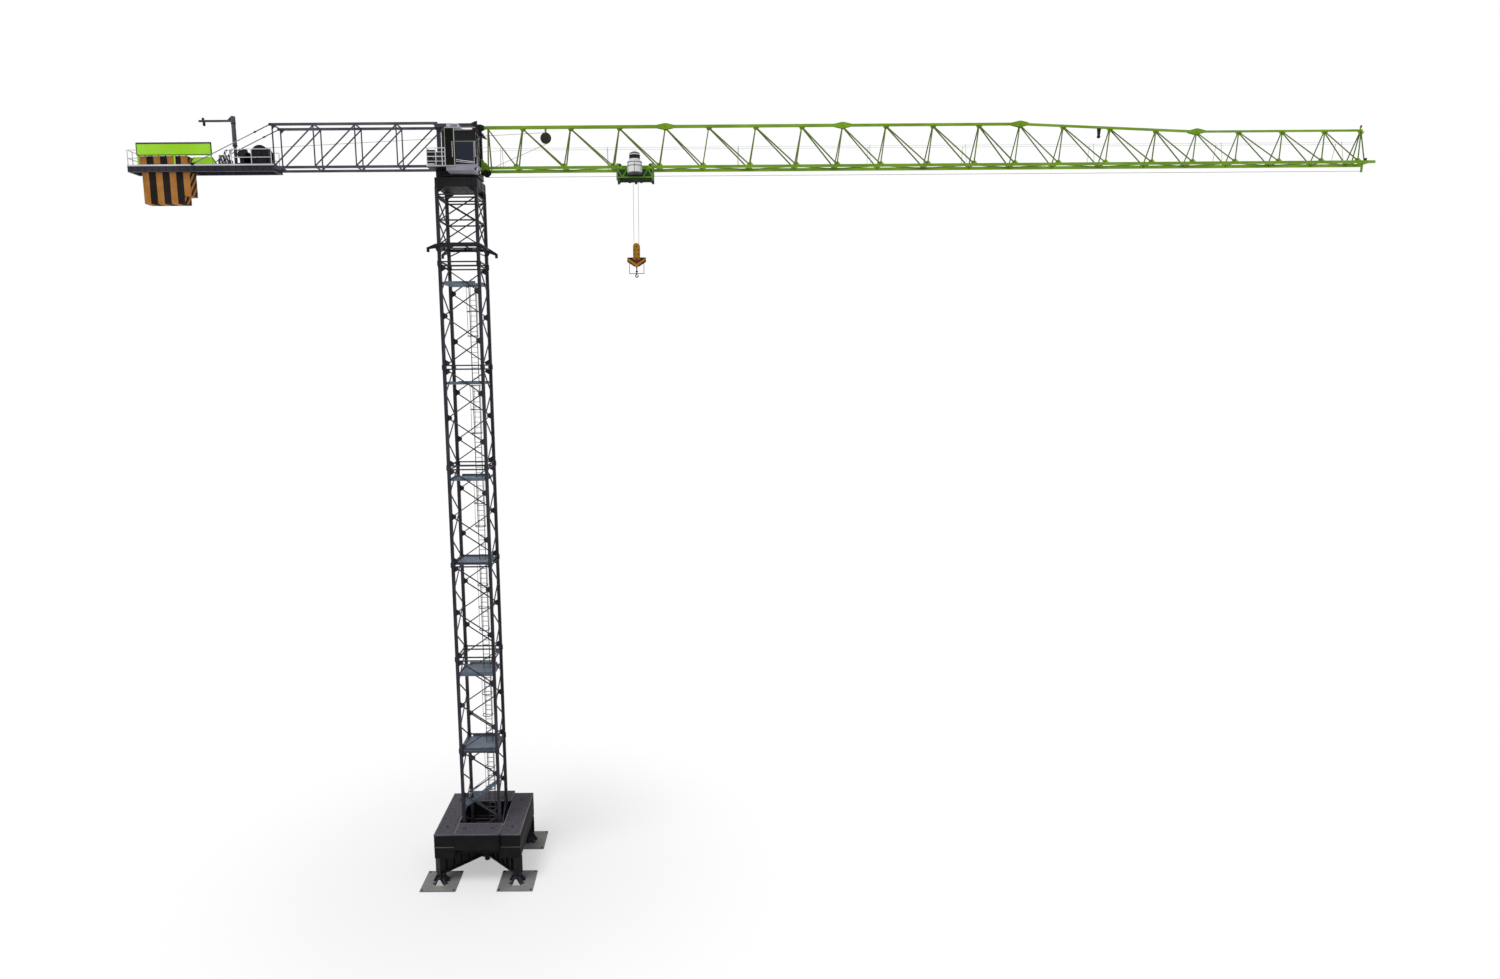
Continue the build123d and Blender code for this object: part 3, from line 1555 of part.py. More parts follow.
def block_cheeks():
    """The wide cross plate under the housing, with the socket for the hook shank."""
    half = cheek_width / 2
    side_z = block_low - cheek_side_share * cheek_height
    outline = [
        (trolley_x - half, block_low),
        (trolley_x - half, side_z),
        (trolley_x - cheek_tip_width / 2, cheek_low),
        (trolley_x + cheek_tip_width / 2, cheek_low),
        (trolley_x + half, side_z),
        (trolley_x + half, block_low),
    ]
    plate = outline_plate(outline, front_plane(0), cheek_depth)
    socket = rod_z(trolley_x, 0, cheek_low - overrun, cheek_low + hook_socket_depth,
                   hook_shank_radius + hook_shank_clearance)
    plate -= socket
    guard = []
    for side in (-1, 1):
        x = trolley_x + side * (guard_width - guard_bar) / 2
        guard.append(block((x - guard_bar / 2, -guard_bar / 2, guard_low),
                           (x + guard_bar / 2, guard_bar / 2, side_z)))
    guard.append(block((trolley_x - guard_width / 2, -guard_bar / 2, guard_low),
                       (trolley_x + guard_width / 2, guard_bar / 2, guard_low + guard_bar)))
    guard.append(rod_z(trolley_x, 0, guard_low, guard_low + guard_bar, guard_ring_radius))
    frame = Part() + guard
    frame -= rod_z(trolley_x, 0, guard_low - overrun, guard_low + guard_bar + overrun,
                   hook_shank_radius + hook_shank_clearance)
    return plate + frame


save("hook_block_housing", block_housing())
save("hook_block_sheave", block_sheave())
save("hook_block_cheeks", block_cheeks())


# Hook
def hook():
    """A shank in the socket and a round bowl that ends in a tapered tip."""
    neck = hook_bowl_level + hook_bowl_radius
    shank = rod_z(trolley_x, 0, neck, cheek_low + hook_socket_depth - hook_shank_clearance, hook_shank_radius)
    ring = Torus(hook_bowl_radius, hook_section_radius)
    ring = Pos(trolley_x, 0, hook_bowl_level) * Rot(90, 0, 0) * ring
    reach = hook_bowl_radius + 2 * hook_section_radius
    gap = block((trolley_x, -reach, hook_bowl_level), (trolley_x + reach, reach, hook_bowl_level + reach))
    bowl = ring - gap
    tip_foot = Plane(origin=(trolley_x + hook_bowl_radius, 0, hook_bowl_level)) * Circle(hook_section_radius)
    tip_head = Plane(origin=(trolley_x + hook_bowl_radius + hook_tip_radius / 2, 0,
                             hook_bowl_level + hook_bowl_radius)) * Circle(hook_tip_radius)
    return bowl + shank + loft([tip_foot, tip_head])


save("hook", hook())


# Ropes
def rope_fall(side):
    """One vertical fall from a trolley sheave to the sheave of the hook block."""
    return rod_z(trolley_x + side * fall_reach, 0, block_sheave_level, trolley_sheave_level, rope_radius)


def run_angle(start, start_radius, end, end_radius):
    """The direction of a rope from one round to the next. A radius is positive where the
    rope turns clockwise and negative where it turns the other way."""
    gap = math.hypot(end[0] - start[0], end[1] - start[1])
    return math.atan2(end[1] - start[1], end[0] - start[0]) - math.asin((start_radius - end_radius) / gap)


def touch_point(centre, radius, angle):
    """Where a rope that runs at an angle touches a round."""
    return (centre[0] - radius * math.sin(angle), centre[1] + radius * math.cos(angle))


def hoist_rope():
    """The hoist rope from the drum over the root sheave, round the guide and out to the tip."""
    drum = (winch_axis_x, winch_axis_level)
    over = (root_sheave_x, root_sheave_level)
    under = (guide_sheave_x, guide_sheave_level)
    drum_turn = drum_radius + rope_radius
    over_turn = root_sheave_radius + rope_radius
    under_turn = guide_sheave_radius + rope_radius
    out = run_angle(drum, drum_turn, over, over_turn)
    back = run_angle(over, over_turn, under, -under_turn)
    out_degrees = math.degrees(out)
    back_degrees = math.degrees(back)
    first = Line(touch_point(drum, drum_turn, out), touch_point(over, over_turn, out))
    turn = CenterArc(over, over_turn, out_degrees + 90, back_degrees - out_degrees)
    second = Line(touch_point(over, over_turn, back), touch_point(under, -under_turn, back))
    bend = CenterArc(under, under_turn, back_degrees - 90, -back_degrees)
    last = Line((under[0], rope_level), (jib_end - tip_frame_bar, rope_level))
    path = front_plane(0) * (Curve() + [first, turn, second, bend, last])
    wire = Wire(path.edges())
    section = Plane(origin=wire @ 0, z_dir=wire % 0) * Circle(rope_radius)
    return sweep(section, path=wire)


save("rope_falls", [rope_fall(-1), rope_fall(1)])
save("hoist_rope", hoist_rope())
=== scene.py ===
import math

import bmesh
import bpy
from mathutils import Matrix, Vector


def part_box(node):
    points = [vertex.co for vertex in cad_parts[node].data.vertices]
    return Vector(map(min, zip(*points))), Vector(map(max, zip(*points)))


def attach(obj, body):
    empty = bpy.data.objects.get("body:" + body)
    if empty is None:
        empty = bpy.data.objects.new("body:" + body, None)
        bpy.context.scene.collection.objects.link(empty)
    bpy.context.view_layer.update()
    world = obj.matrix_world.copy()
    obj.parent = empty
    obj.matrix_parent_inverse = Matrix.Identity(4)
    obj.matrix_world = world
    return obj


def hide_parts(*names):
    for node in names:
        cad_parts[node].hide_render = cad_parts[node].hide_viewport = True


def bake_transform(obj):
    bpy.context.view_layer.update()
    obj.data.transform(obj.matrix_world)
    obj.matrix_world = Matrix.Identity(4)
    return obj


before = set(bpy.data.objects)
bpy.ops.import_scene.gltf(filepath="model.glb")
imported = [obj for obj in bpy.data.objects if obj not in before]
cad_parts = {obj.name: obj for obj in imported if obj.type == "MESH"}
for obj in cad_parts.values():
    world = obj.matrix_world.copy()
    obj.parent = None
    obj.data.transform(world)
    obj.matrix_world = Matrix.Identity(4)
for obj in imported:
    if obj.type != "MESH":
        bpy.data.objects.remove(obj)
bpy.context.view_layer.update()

# The camera looks along the Y axis and a little down, from two thirds of the mast's height.
# Its place, its focal length and the column of its axis were fitted to the feet, the mast
# joints, the jib joints and the counterweights in the photograph.
photo_width = 1500
photo_focal_pixels = 877.9
photo_axis_column = 673.7
eye_place = (6.005, -25.98, 15.62)
eye_pitch_down = math.radians(8.20)
eye_roll = -0.0072
eye_data = bpy.data.cameras.new("photo_camera")
eye_data.lens = photo_focal_pixels / photo_width * eye_data.sensor_width
eye_data.shift_x = (photo_width / 2 - photo_axis_column) / photo_width
eye_data.clip_end = 1000
eye = bpy.data.objects.new("photo_camera", eye_data)
bpy.context.scene.collection.objects.link(eye)
level_gaze = Matrix.Rotation(math.pi / 2 - eye_pitch_down, 4, "X")
eye.matrix_world = Matrix.Translation(eye_place) @ level_gaze @ Matrix.Rotation(eye_roll, 4, "Z")
bpy.context.scene.camera = eye
bpy.context.scene.view_settings.view_transform = "Standard"


# The floor is a wide pale sheet under the foot plates. Close to the crane it is matt and
# keeps the soft shadows. Further out it fades into the white of the backdrop, so that no
# horizon shows behind the mast.
def colour(red, green, blue):
    """A colour written in the 0 to 255 steps of a screen."""
    steps = [value / 255 for value in (red, green, blue)]
    straight = [v / 12.92 if v <= 0.04045 else ((v + 0.055) / 1.055) ** 2.4 for v in steps]
    return (*straight, 1.0)


def set_inputs(tree, node, inputs):
    """Links an input where a socket is given, and sets it where a plain value is."""
    for key, value in inputs.items():
        if isinstance(value, bpy.types.NodeSocket):
            tree.links.new(value, node.inputs[key])
        else:
            node.inputs[key].default_value = value


def add_node(tree, kind, inputs=None, **settings):
    """A node of a tree, with its settings and its inputs."""
    made = tree.nodes.new(kind)
    for name, value in settings.items():
        setattr(made, name, value)
    set_inputs(tree, made, inputs or {})
    return made


def maths(tree, operation, *values):
    """The result of a sum on sockets or plain values."""
    return add_node(tree, "ShaderNodeMath", dict(enumerate(values)), operation=operation).outputs["Value"]


def new_material(name):
    """A material with a Principled shader, wired to its output."""
    made = bpy.data.materials.new(name)
    made.use_nodes = True
    made.node_tree.nodes.clear()
    shader = add_node(made.node_tree, "ShaderNodeBsdfPrincipled")
    add_node(made.node_tree, "ShaderNodeOutputMaterial", {"Surface": shader.outputs["BSDF"]}, name="output")
    return made, shader


def seen_directly(tree, *more_rays):
    """White for what the camera sees, straight or in a gloss, and for more kinds of ray."""
    path = add_node(tree, "ShaderNodeLightPath").outputs
    seen = maths(tree, "MAXIMUM", path["Is Camera Ray"], path["Is Glossy Ray"])
    for ray in more_rays:
        seen = maths(tree, "MAXIMUM", seen, path[ray])
    return seen


floor_half = 300.0
floor_drop = 0.002
shadow_near = 3.0
shadow_far = 10.0
least_glow = 0.4
floor_tone = colour(236, 236, 238)
backdrop_tone = (1.0, 1.0, 1.0, 1.0)
floor_mesh = bpy.data.meshes.new("floor")
floor_corners = [(x * floor_half, y * floor_half, -floor_drop)
                 for x, y in ((-1, -1), (1, -1), (1, 1), (-1, 1))]
floor_mesh.from_pydata(floor_corners, [], [(0, 1, 2, 3)])
floor = bpy.data.objects.new("floor", floor_mesh)
bpy.context.scene.collection.objects.link(floor)
floor_material, floor_shader = new_material("pale_floor")
tree = floor_material.node_tree
set_inputs(tree, floor_shader, {"Base Color": floor_tone, "Roughness": 1.0, "Specular IOR Level": 0.0})
place = add_node(tree, "ShaderNodeTexCoord")
distance = add_node(tree, "ShaderNodeVectorMath", {0: place.outputs["Object"]}, operation="LENGTH")
fade = add_node(tree, "ShaderNodeMapRange", {
    "Value": distance.outputs["Value"], "From Min": shadow_near, "From Max": shadow_far,
    "To Min": least_glow}, interpolation_type="SMOOTHSTEP")
glow = add_node(tree, "ShaderNodeEmission", {"Color": backdrop_tone})
mix = add_node(tree, "ShaderNodeMixShader", {
    "Fac": maths(tree, "MULTIPLY", fade.outputs["Result"], seen_directly(tree)),
    1: floor_shader.outputs["BSDF"], 2: glow.outputs["Emission"]})
set_inputs(tree, tree.nodes["output"], {"Surface": mix.outputs["Shader"]})
floor_mesh.materials.append(floor_material)

# The light is a plain dome and one broad lamp high up at the front left, so that upward
# faces are a little brighter than upright ones. What the camera sees beyond the floor is
# plain white.
dome_strength = 0.62
lamp_strength = 1.5
lamp_softness = math.radians(22)
lamp_direction = Vector((0.30, 0.34, -1.0))
world = bpy.data.worlds.new("studio")
bpy.context.scene.world = world
world.use_nodes = True
tree = world.node_tree
tree.nodes.clear()
dome = add_node(tree, "ShaderNodeBackground", {"Color": backdrop_tone, "Strength": dome_strength})
sky = add_node(tree, "ShaderNodeBackground", {"Color": backdrop_tone})
mix = add_node(tree, "ShaderNodeMixShader", {
    "Fac": seen_directly(tree, "Is Transmission Ray"),
    1: dome.outputs["Background"], 2: sky.outputs["Background"]})
add_node(tree, "ShaderNodeOutputWorld", {"Surface": mix.outputs["Shader"]})
lamp_data = bpy.data.lights.new("high_lamp", "SUN")
lamp_data.energy = lamp_strength
lamp_data.angle = lamp_softness
lamp = bpy.data.objects.new("high_lamp", lamp_data)
lamp.rotation_mode = "QUATERNION"
lamp.rotation_quaternion = lamp_direction.to_track_quat("-Z", "Y")
bpy.context.scene.collection.objects.link(lamp)


# The four feet are thick steel plates on the ground, each with a flared stool welded to it.
# The plates are bare, dusty steel. The stools are dark, and thin white plates on the front and back of each
# are a painted highlight of their sunlit fins.
def new_tree(name, kind, inputs, outputs):
    """A group of nodes with its named sockets. Gives the tree and the sockets of its input."""
    tree = bpy.data.node_groups.new(name, kind)
    for socket_kind, label, value in inputs:
        socket = tree.interface.new_socket(name=label, in_out="INPUT", socket_type=socket_kind)
        if value is not None:
            socket.default_value = value
    for socket_kind, label in outputs:
        tree.interface.new_socket(name=label, in_out="OUTPUT", socket_type=socket_kind)
    return tree, add_node(tree, "NodeGroupInput").outputs


def ranged(tree, value, low, high, new_low=0.0, new_high=1.0):
    """A value stretched from one range to another and held inside it."""
    made = add_node(tree, "ShaderNodeMapRange", {
        "Value": value, "From Min": low, "From Max": high, "To Min": new_low, "To Max": new_high})
    return made.outputs["Result"]


def blended(tree, share, first, second):
    """A colour that turns from the first to the second by a share."""
    made = add_node(tree, "ShaderNodeMix", {"Factor": share, 6: first, 7: second}, data_type="RGBA")
    return made.outputs[2]


def weathered_paint_group():
    """Paint that fades in soft patches, streaks downwards, gathers dust on top and rusts in spots."""
    grey = (0.5, 0.5, 0.5, 1.0)
    tree, given = new_tree(
        "weathered_paint", "ShaderNodeTree",
        [("NodeSocketColor", "Paint", grey), ("NodeSocketColor", "Faded Paint", grey),
         ("NodeSocketColor", "Dust", grey), ("NodeSocketColor", "Rust", grey),
         ("NodeSocketFloat", "Patch Scale", 1.2), ("NodeSocketFloat", "Dust Amount", 0.5),
         ("NodeSocketFloat", "Rust Amount", 0.1), ("NodeSocketFloat", "Base Roughness", 0.45)],
        [("NodeSocketColor", "Color"), ("NodeSocketFloat", "Roughness"), ("NodeSocketFloat", "Height")])
    place = add_node(tree, "ShaderNodeTexCoord").outputs

    patches = add_node(tree, "ShaderNodeTexNoise", {
        "Vector": place["Object"], "Scale": given["Patch Scale"], "Detail": 3.0})
    faded_share = ranged(tree, patches.outputs["Fac"], 0.38, 0.66)
    faded = blended(tree, faded_share, given["Paint"], given["Faded Paint"])

    stretched = add_node(tree, "ShaderNodeMapping", {"Vector": place["Object"], "Scale": (9.0, 9.0, 0.8)})
    streaks = add_node(tree, "ShaderNodeTexNoise", {
        "Vector": stretched.outputs["Vector"], "Scale": 1.6, "Detail": 4.0})
    streak_share = ranged(tree, streaks.outputs["Fac"], 0.52, 0.80)
    rusted = blended(tree, maths(tree, "MULTIPLY", streak_share, given["Rust Amount"]), faded, given["Rust"])

    facing = add_node(tree, "ShaderNodeSeparateXYZ", {"Vector": place["Normal"]})
    settled = maths(tree, "MULTIPLY", ranged(tree, facing.outputs["Z"], 0.35, 0.95), given["Dust Amount"])
    grit = add_node(tree, "ShaderNodeTexNoise", {
        "Vector": place["Object"], "Scale": 14.0, "Detail": 5.0}).outputs["Fac"]
    dust_share = maths(tree, "MULTIPLY", settled, ranged(tree, grit, 0.05, 0.55))
    add_node(tree, "NodeGroupOutput", {
        "Color": blended(tree, dust_share, rusted, given["Dust"]),
        "Roughness": maths(tree, "MULTIPLY_ADD", grit, 0.35, given["Base Roughness"]), "Height": grit})
    return tree


weathered_paint = weathered_paint_group()


def painted_steel(name, paint, faded, dust, dust_amount=0.5, rust_amount=0.12, patch_scale=1.2,
                  roughness=0.36, relief=0.002, metal=0.0, gloss=0.16):
    """A painted or bare steel with weathering, with its own colours and amounts."""
    made, shader = new_material(name)
    tree = made.node_tree
    shader.name = "surface"
    weather = add_node(tree, "ShaderNodeGroup", name="weather", node_tree=weathered_paint)
    set_inputs(tree, weather, {
        "Paint": colour(*paint), "Faded Paint": colour(*faded), "Dust": colour(*dust),
        "Rust": rust_brown, "Patch Scale": patch_scale, "Dust Amount": dust_amount,
        "Rust Amount": rust_amount, "Base Roughness": roughness})
    bump = add_node(tree, "ShaderNodeBump", {
        "Strength": 0.35, "Distance": relief, "Height": weather.outputs["Height"]}, name="grit_bump")
    set_inputs(tree, shader, {
        "Base Color": weather.outputs["Color"], "Roughness": weather.outputs["Roughness"],
        "Normal": bump.outputs["Normal"], "Metallic": metal, "Specular IOR Level": gloss})
    return made


def dress(material, *names):
    """Gives CAD nodes a finish."""
    for name in names:
        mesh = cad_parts[name].data
        mesh.materials.clear()
        mesh.materials.append(material)


def add_plate(work, outline, origin, across, up, thickness):
    """A flat plate. Its outline lies on two directions through an origin, at the middle of its thickness."""
    across, up, origin = Vector(across), Vector(up), Vector(origin)
    out = across.cross(up).normalized() * (thickness / 2)
    near = [work.verts.new(origin + across * a + up * b - out) for a, b in outline]
    far = [work.verts.new(origin + across * a + up * b + out) for a, b in outline]
    work.faces.new(list(reversed(near)))
    work.faces.new(far)
    count = len(outline)
    for index in range(count):
        after = (index + 1) % count
        work.faces.new((near[index], near[after], far[after], far[index]))


def stand_plate(work, outline, origin, thickness):
    """A plate that stands lengthwise, its outline in lengths and heights from an origin."""
    add_plate(work, outline, origin, (1, 0, 0), (0, 0, 1), thickness)


def put_in_scene(name, mesh, body):
    """An object of a finished mesh, which rides on a body and takes its finish from the mesh."""
    made = bpy.data.objects.new(name, mesh)
    bpy.context.scene.collection.objects.link(made)
    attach(made, body)
    return made


def worked_mesh(name, work, material):
    """A mesh of the worked shape, with its faces turned outward."""
    bmesh.ops.recalc_face_normals(work, faces=work.faces)
    mesh = bpy.data.meshes.new(name)
    work.to_mesh(mesh)
    work.free()
    mesh.materials.append(material)
    return mesh


def finish_piece(name, work, body, material, edge=0.0):
    """Makes a piece of the worked shape, with its edges eased."""
    made = put_in_scene(name, worked_mesh(name, work, material), body)
    if edge:
        eased = made.modifiers.new("eased_edges", "BEVEL")
        eased.width = edge
        eased.segments = 1
        eased.limit_method = "ANGLE"


def end_tree(tree, given, geometry):
    """Ends a Geometry Nodes tree with real geometry that has the given finish."""
    real = add_node(tree, "GeometryNodeRealizeInstances", {"Geometry": geometry})
    finish = add_node(tree, "GeometryNodeSetMaterial", {
        "Geometry": real.outputs["Geometry"], "Material": given["Finish"]})
    add_node(tree, "NodeGroupOutput", {"Mesh": finish.outputs["Geometry"]})


def repeat_tree(name, make_part, axis, inputs):
    """Geometry Nodes that set one part on every point, with an axis turned along its direction."""
    tree, given = new_tree(
        name, "GeometryNodeTree",
        [("NodeSocketGeometry", "Points", None), *inputs, ("NodeSocketMaterial", "Finish", None)],
        [("NodeSocketGeometry", "Mesh")])
    direction = add_node(tree, "GeometryNodeInputNamedAttribute", {"Name": "direction"},
                         data_type="FLOAT_VECTOR").outputs["Attribute"]
    turn = add_node(tree, "FunctionNodeAlignRotationToVector", {"Vector": direction}, axis=axis)
    spread = add_node(tree, "GeometryNodeInstanceOnPoints", {
        "Points": given["Points"], "Instance": make_part(tree, given), "Rotation": turn.outputs["Rotation"]})
    end_tree(tree, given, spread.outputs["Instances"])
    return tree


def raised_cylinder(tree, given, sides, radius_name, height_name, lift=None):
    """A round or six-sided disc that stands on the point, or on the disc under it."""
    disc = add_node(tree, "GeometryNodeMeshCylinder", {
        "Vertices": sides, "Radius": given[radius_name], "Depth": given[height_name]})
    middle = maths(tree, "MULTIPLY_ADD", given[height_name], 0.5, given[lift] if lift else 0.0)
    rise = add_node(tree, "ShaderNodeCombineXYZ", {"Z": middle})
    raised = add_node(tree, "GeometryNodeTransform", {
        "Geometry": disc.outputs["Mesh"], "Translation": rise.outputs["Vector"]})
    return raised.outputs["Geometry"]


def hex_bolt(tree, given):
    """A washer with a six-sided head on it."""
    both = add_node(tree, "GeometryNodeJoinGeometry")
    set_inputs(tree, both, {"Geometry": raised_cylinder(tree, given, 12, "Washer Radius", "Washer Height")})
    head = raised_cylinder(tree, given, 6, "Head Radius", "Head Height", "Washer Height")
    set_inputs(tree, both, {"Geometry": head})
    return both.outputs["Geometry"]


bolt_inputs = [("NodeSocketFloat", "Head Radius", 0.012), ("NodeSocketFloat", "Head Height", 0.01),
               ("NodeSocketFloat", "Washer Radius", 0.017), ("NodeSocketFloat", "Washer Height", 0.003)]
bolt_tree = repeat_tree("hex_bolts", hex_bolt, "Z", bolt_inputs)


def evaluated_mesh(name, carrier_mesh, tree, settings):
    """Runs a Geometry Nodes tree on a carrier's mesh and keeps the result as a plain mesh."""
    carrier = bpy.data.objects.new(name + "_carrier", carrier_mesh)
    bpy.context.scene.collection.objects.link(carrier)
    modifier = carrier.modifiers.new("repeat", "NODES")
    modifier.node_group = tree
    for item in tree.interface.items_tree:
        if item.item_type == "SOCKET" and item.in_out == "INPUT" and item.name in settings:
            modifier[item.identifier] = settings[item.name]
    bpy.context.view_layer.update()
    result = carrier.evaluated_get(bpy.context.evaluated_depsgraph_get())
    mesh = bpy.data.meshes.new_from_object(result)
    carrier.modifiers.clear()
    bpy.data.objects.remove(carrier)
    mesh.name = name
    if not mesh.materials:
        mesh.materials.append(settings["Finish"])
    return mesh


def repeat_on(name, tree, places, body, slot, material, **settings):
    """Repeats a part on places, each a point and a direction, as one piece of a body."""
    points = bpy.data.meshes.new(name + "_points")
    points.from_pydata([point for point, direction in places], [], [])
    directions = points.attributes.new("direction", "FLOAT_VECTOR", "POINT")
    for index, (point, direction) in enumerate(places):
        directions.data[index].vector = direction
    wanted = {label.replace("_", " ").title(): value for label, value in settings.items()}
    put_in_scene(name, evaluated_mesh(name, points, tree, {**wanted, "Finish": material}), body)


def corners(reach):
    """The four corners of a square about the middle."""
    return [(x, y) for x in (-reach, reach) for y in (-reach, reach)]


rust_brown = colour(96, 58, 34)
pale_dust = (150, 148, 146)
upward = (0, 0, 1)
foot_reach = 1.155
foot_places = corners(foot_reach)
plate_top = 0.025
plate_steel = painted_steel("plate_steel", (104, 104, 104), (126, 125, 122), pale_dust,
                            dust_amount=0.35, rust_amount=0.25, roughness=0.5)
dress(plate_steel, "foot_plates")
stool_paint = painted_steel("stool_paint", (26, 29, 38), (38, 42, 52), (84, 84, 90))
dress(stool_paint, "foot_pedestals")
bolt_steel = painted_steel("bolt_steel", (44, 42, 44), (66, 62, 60), (96, 92, 88),
                           rust_amount=0.5, roughness=0.38, metal=0.6)
anchor_reach = 0.4775
stool_bolts = [(-0.205, -0.14), (-0.205, 0.14), (0.205, -0.14), (0.205, 0.14),
               (-0.14, -0.205), (-0.14, 0.205), (0.14, -0.205), (0.14, 0.205)]
anchors = []
for x, y in foot_places:
    anchors += [((x + a, y + b, plate_top), upward) for a, b in corners(anchor_reach) + stool_bolts]
repeat_on("anchor_bolts", bolt_tree, anchors, "tower", "base_steel", bolt_steel,
          head_radius=0.021, head_height=0.022, washer_radius=0.032, washer_height=0.004)
# White triangles on the front and back of each stool are a painted highlight: the sunlit faces of the fins,
# shown as white plates.
painted_highlight_white = painted_steel("painted_highlight_white", (222, 222, 220), (206, 206, 204), (176, 174, 170),
                             rust_amount=0.3)
painted_highlight_outline = [(-0.12, 0.0), (0.12, 0.0), (0.025, 0.19), (-0.025, 0.19)]
painted_highlight_reach = 0.264
work = bmesh.new()
for x, y in foot_places:
    outer = y + math.copysign(painted_highlight_reach, y)
    stand_plate(work, painted_highlight_outline, (x, outer, plate_top), 0.007)
finish_piece("foot_painted_highlights", work, "tower", painted_highlight_white, 0.0015)


# The cross base is two deep welded beams that cross at a hub, painted black. The mast legs are
# held down by tall bolts through the beams, and a ring of bolts closes the hub.
def round_turn(count, shift=0.0):
    """Directions spread evenly round a full turn, as pairs of cosine and sine."""
    angles = [2 * math.pi * (number + shift) / count for number in range(count)]
    return [(math.cos(angle), math.sin(angle)) for angle in angles]


base_black = painted_steel("base_black", (12, 12, 13), (20, 20, 22), (62, 60, 64))
dress(base_black, "cross_base")
beam_top = 0.85
leg_reach = 0.55
leg_places = corners(leg_reach)
leg_bolt_share = 0.115 / leg_reach
hub_bolt_count = 16
hub_bolt_circle = 0.27
holding = []
for x, y in leg_places:
    for scale in (1 - leg_bolt_share, 1 + leg_bolt_share):
        holding.append(((x * scale, y * scale, beam_top), upward))
for cosine, sine in round_turn(hub_bolt_count):
    holding.append(((hub_bolt_circle * cosine, hub_bolt_circle * sine, beam_top), upward))
repeat_on("base_bolts", bolt_tree, holding, "tower", "base_steel", bolt_steel,
          head_radius=0.018, head_height=0.02, washer_radius=0.026, washer_height=0.004)


# The ballast is cast blocks in two layers round the foot of the mast, coated in charcoal. Steel
# angles protect their top edges, and bent bars cast into the top layer take the lifting slings.
def two_tone(material, mask, paint, faded):
    """Gives a painted steel a second paint where the mask is white."""
    tree = material.node_tree
    for socket_name, second in (("Paint", paint), ("Faded Paint", faded)):
        socket = tree.nodes["weather"].inputs[socket_name]
        first = socket.links[0].from_socket if socket.is_linked else tuple(socket.default_value)
        tree.links.new(blended(tree, mask, first, colour(*second)), socket)


def band_mask(material, axis, low, high, source="Object"):
    """White where a coordinate, or the facing on that axis, lies between two values."""
    tree = material.node_tree
    place = add_node(tree, "ShaderNodeTexCoord")
    parts = add_node(tree, "ShaderNodeSeparateXYZ", {"Vector": place.outputs[source]})
    return maths(tree, "COMPARE", parts.outputs[axis], (low + high) / 2, (high - low) / 2)


def oblong(left, low, right, high):
    """The outline of a rectangle between two corners."""
    return [(left, low), (right, low), (right, high), (left, high)]


def add_block(work, low, high):
    """A block between two corners."""
    low, high = Vector(low), Vector(high)
    middle, half = (low + high) / 2, (high - low) / 2
    add_plate(work, oblong(-half.x, -half.y, half.x, half.y), middle, (1, 0, 0), (0, 1, 0), 2 * half.z)


def add_rod(work, start, end, radius, sides=10, end_radius=None):
    """A round bar between two points, or a cone where its end has another radius."""
    start, end = Vector(start), Vector(end)
    along = end - start
    turned = along.to_track_quat("Z", "Y").to_matrix().to_4x4()
    bmesh.ops.create_cone(work, cap_ends=True, segments=sides, radius1=radius,
                          radius2=radius if end_radius is None else end_radius, depth=along.length,
                          matrix=Matrix.Translation((start + end) / 2) @ turned)


def add_line(work, points, radius, sides=8):
    """Round bars from point to point, with a ball at each bend."""
    for start, end in zip(points, points[1:]):
        add_rod(work, start, end, radius, sides)
    for point in points[1:-1]:
        bend = Matrix.Translation(point)
        bmesh.ops.create_icosphere(work, subdivisions=1, radius=radius * 1.04, matrix=bend)


def add_loop(work, middle, way, half_width, height, steps, radius):
    """A bent bar that stands on a face: half a turn round a middle, along X or Y."""
    arc = []
    for step in range(steps + 1):
        angle = math.pi * step / steps
        spot = Vector(middle)
        spot[way] += half_width * math.cos(angle)
        spot.z += height * math.sin(angle)
        arc.append(spot)
    add_line(work, arc, radius)


sides_of_centre = (-1, 1)
# The upward faces turn grey-purple under a full coat of dust. That tone is both dust and a painted highlight
# of the lit tops.
ballast_coat = painted_steel("ballast_coat", (10, 10, 11), (18, 17, 19), (78, 74, 82),
                             dust_amount=1.0, rust_amount=0.0, patch_scale=2.5, roughness=0.6, relief=0.004)
# Faces that look to the rear take a navy tone, a painted shade on the side away from the lamp.
two_tone(ballast_coat, band_mask(ballast_coat, "Y", 0.6, 1.1, "Normal"), (26, 28, 42), (34, 38, 58))
dress(ballast_coat, "ballast_lower", "ballast_upper")
edge_steel = painted_steel("edge_steel", (58, 56, 62), (84, 82, 88), (128, 124, 132),
                           rust_amount=0.3, roughness=0.45)
ballast_blocks = []
for side in sides_of_centre:
    inner, outer = sorted((side * 0.69, side * 1.30))
    ballast_blocks.append(((inner, -1.30, 0.85), (outer, 1.30, 1.215), False))
    ballast_blocks.append(((inner, -1.30, 1.215), (outer, 1.30, 1.60), True))
    inner, outer = sorted((side * 0.69, side * 1.04))
    ballast_blocks.append(((-0.684, inner, 0.85), (0.684, outer, 1.145), False))
    inner, outer = sorted((side * 0.69, side * 1.37))
    ballast_blocks.append(((-0.684, inner, 1.145), (0.684, outer, 1.645), True))
angle_leg = 0.028
angle_proud = 0.0025
work = bmesh.new()
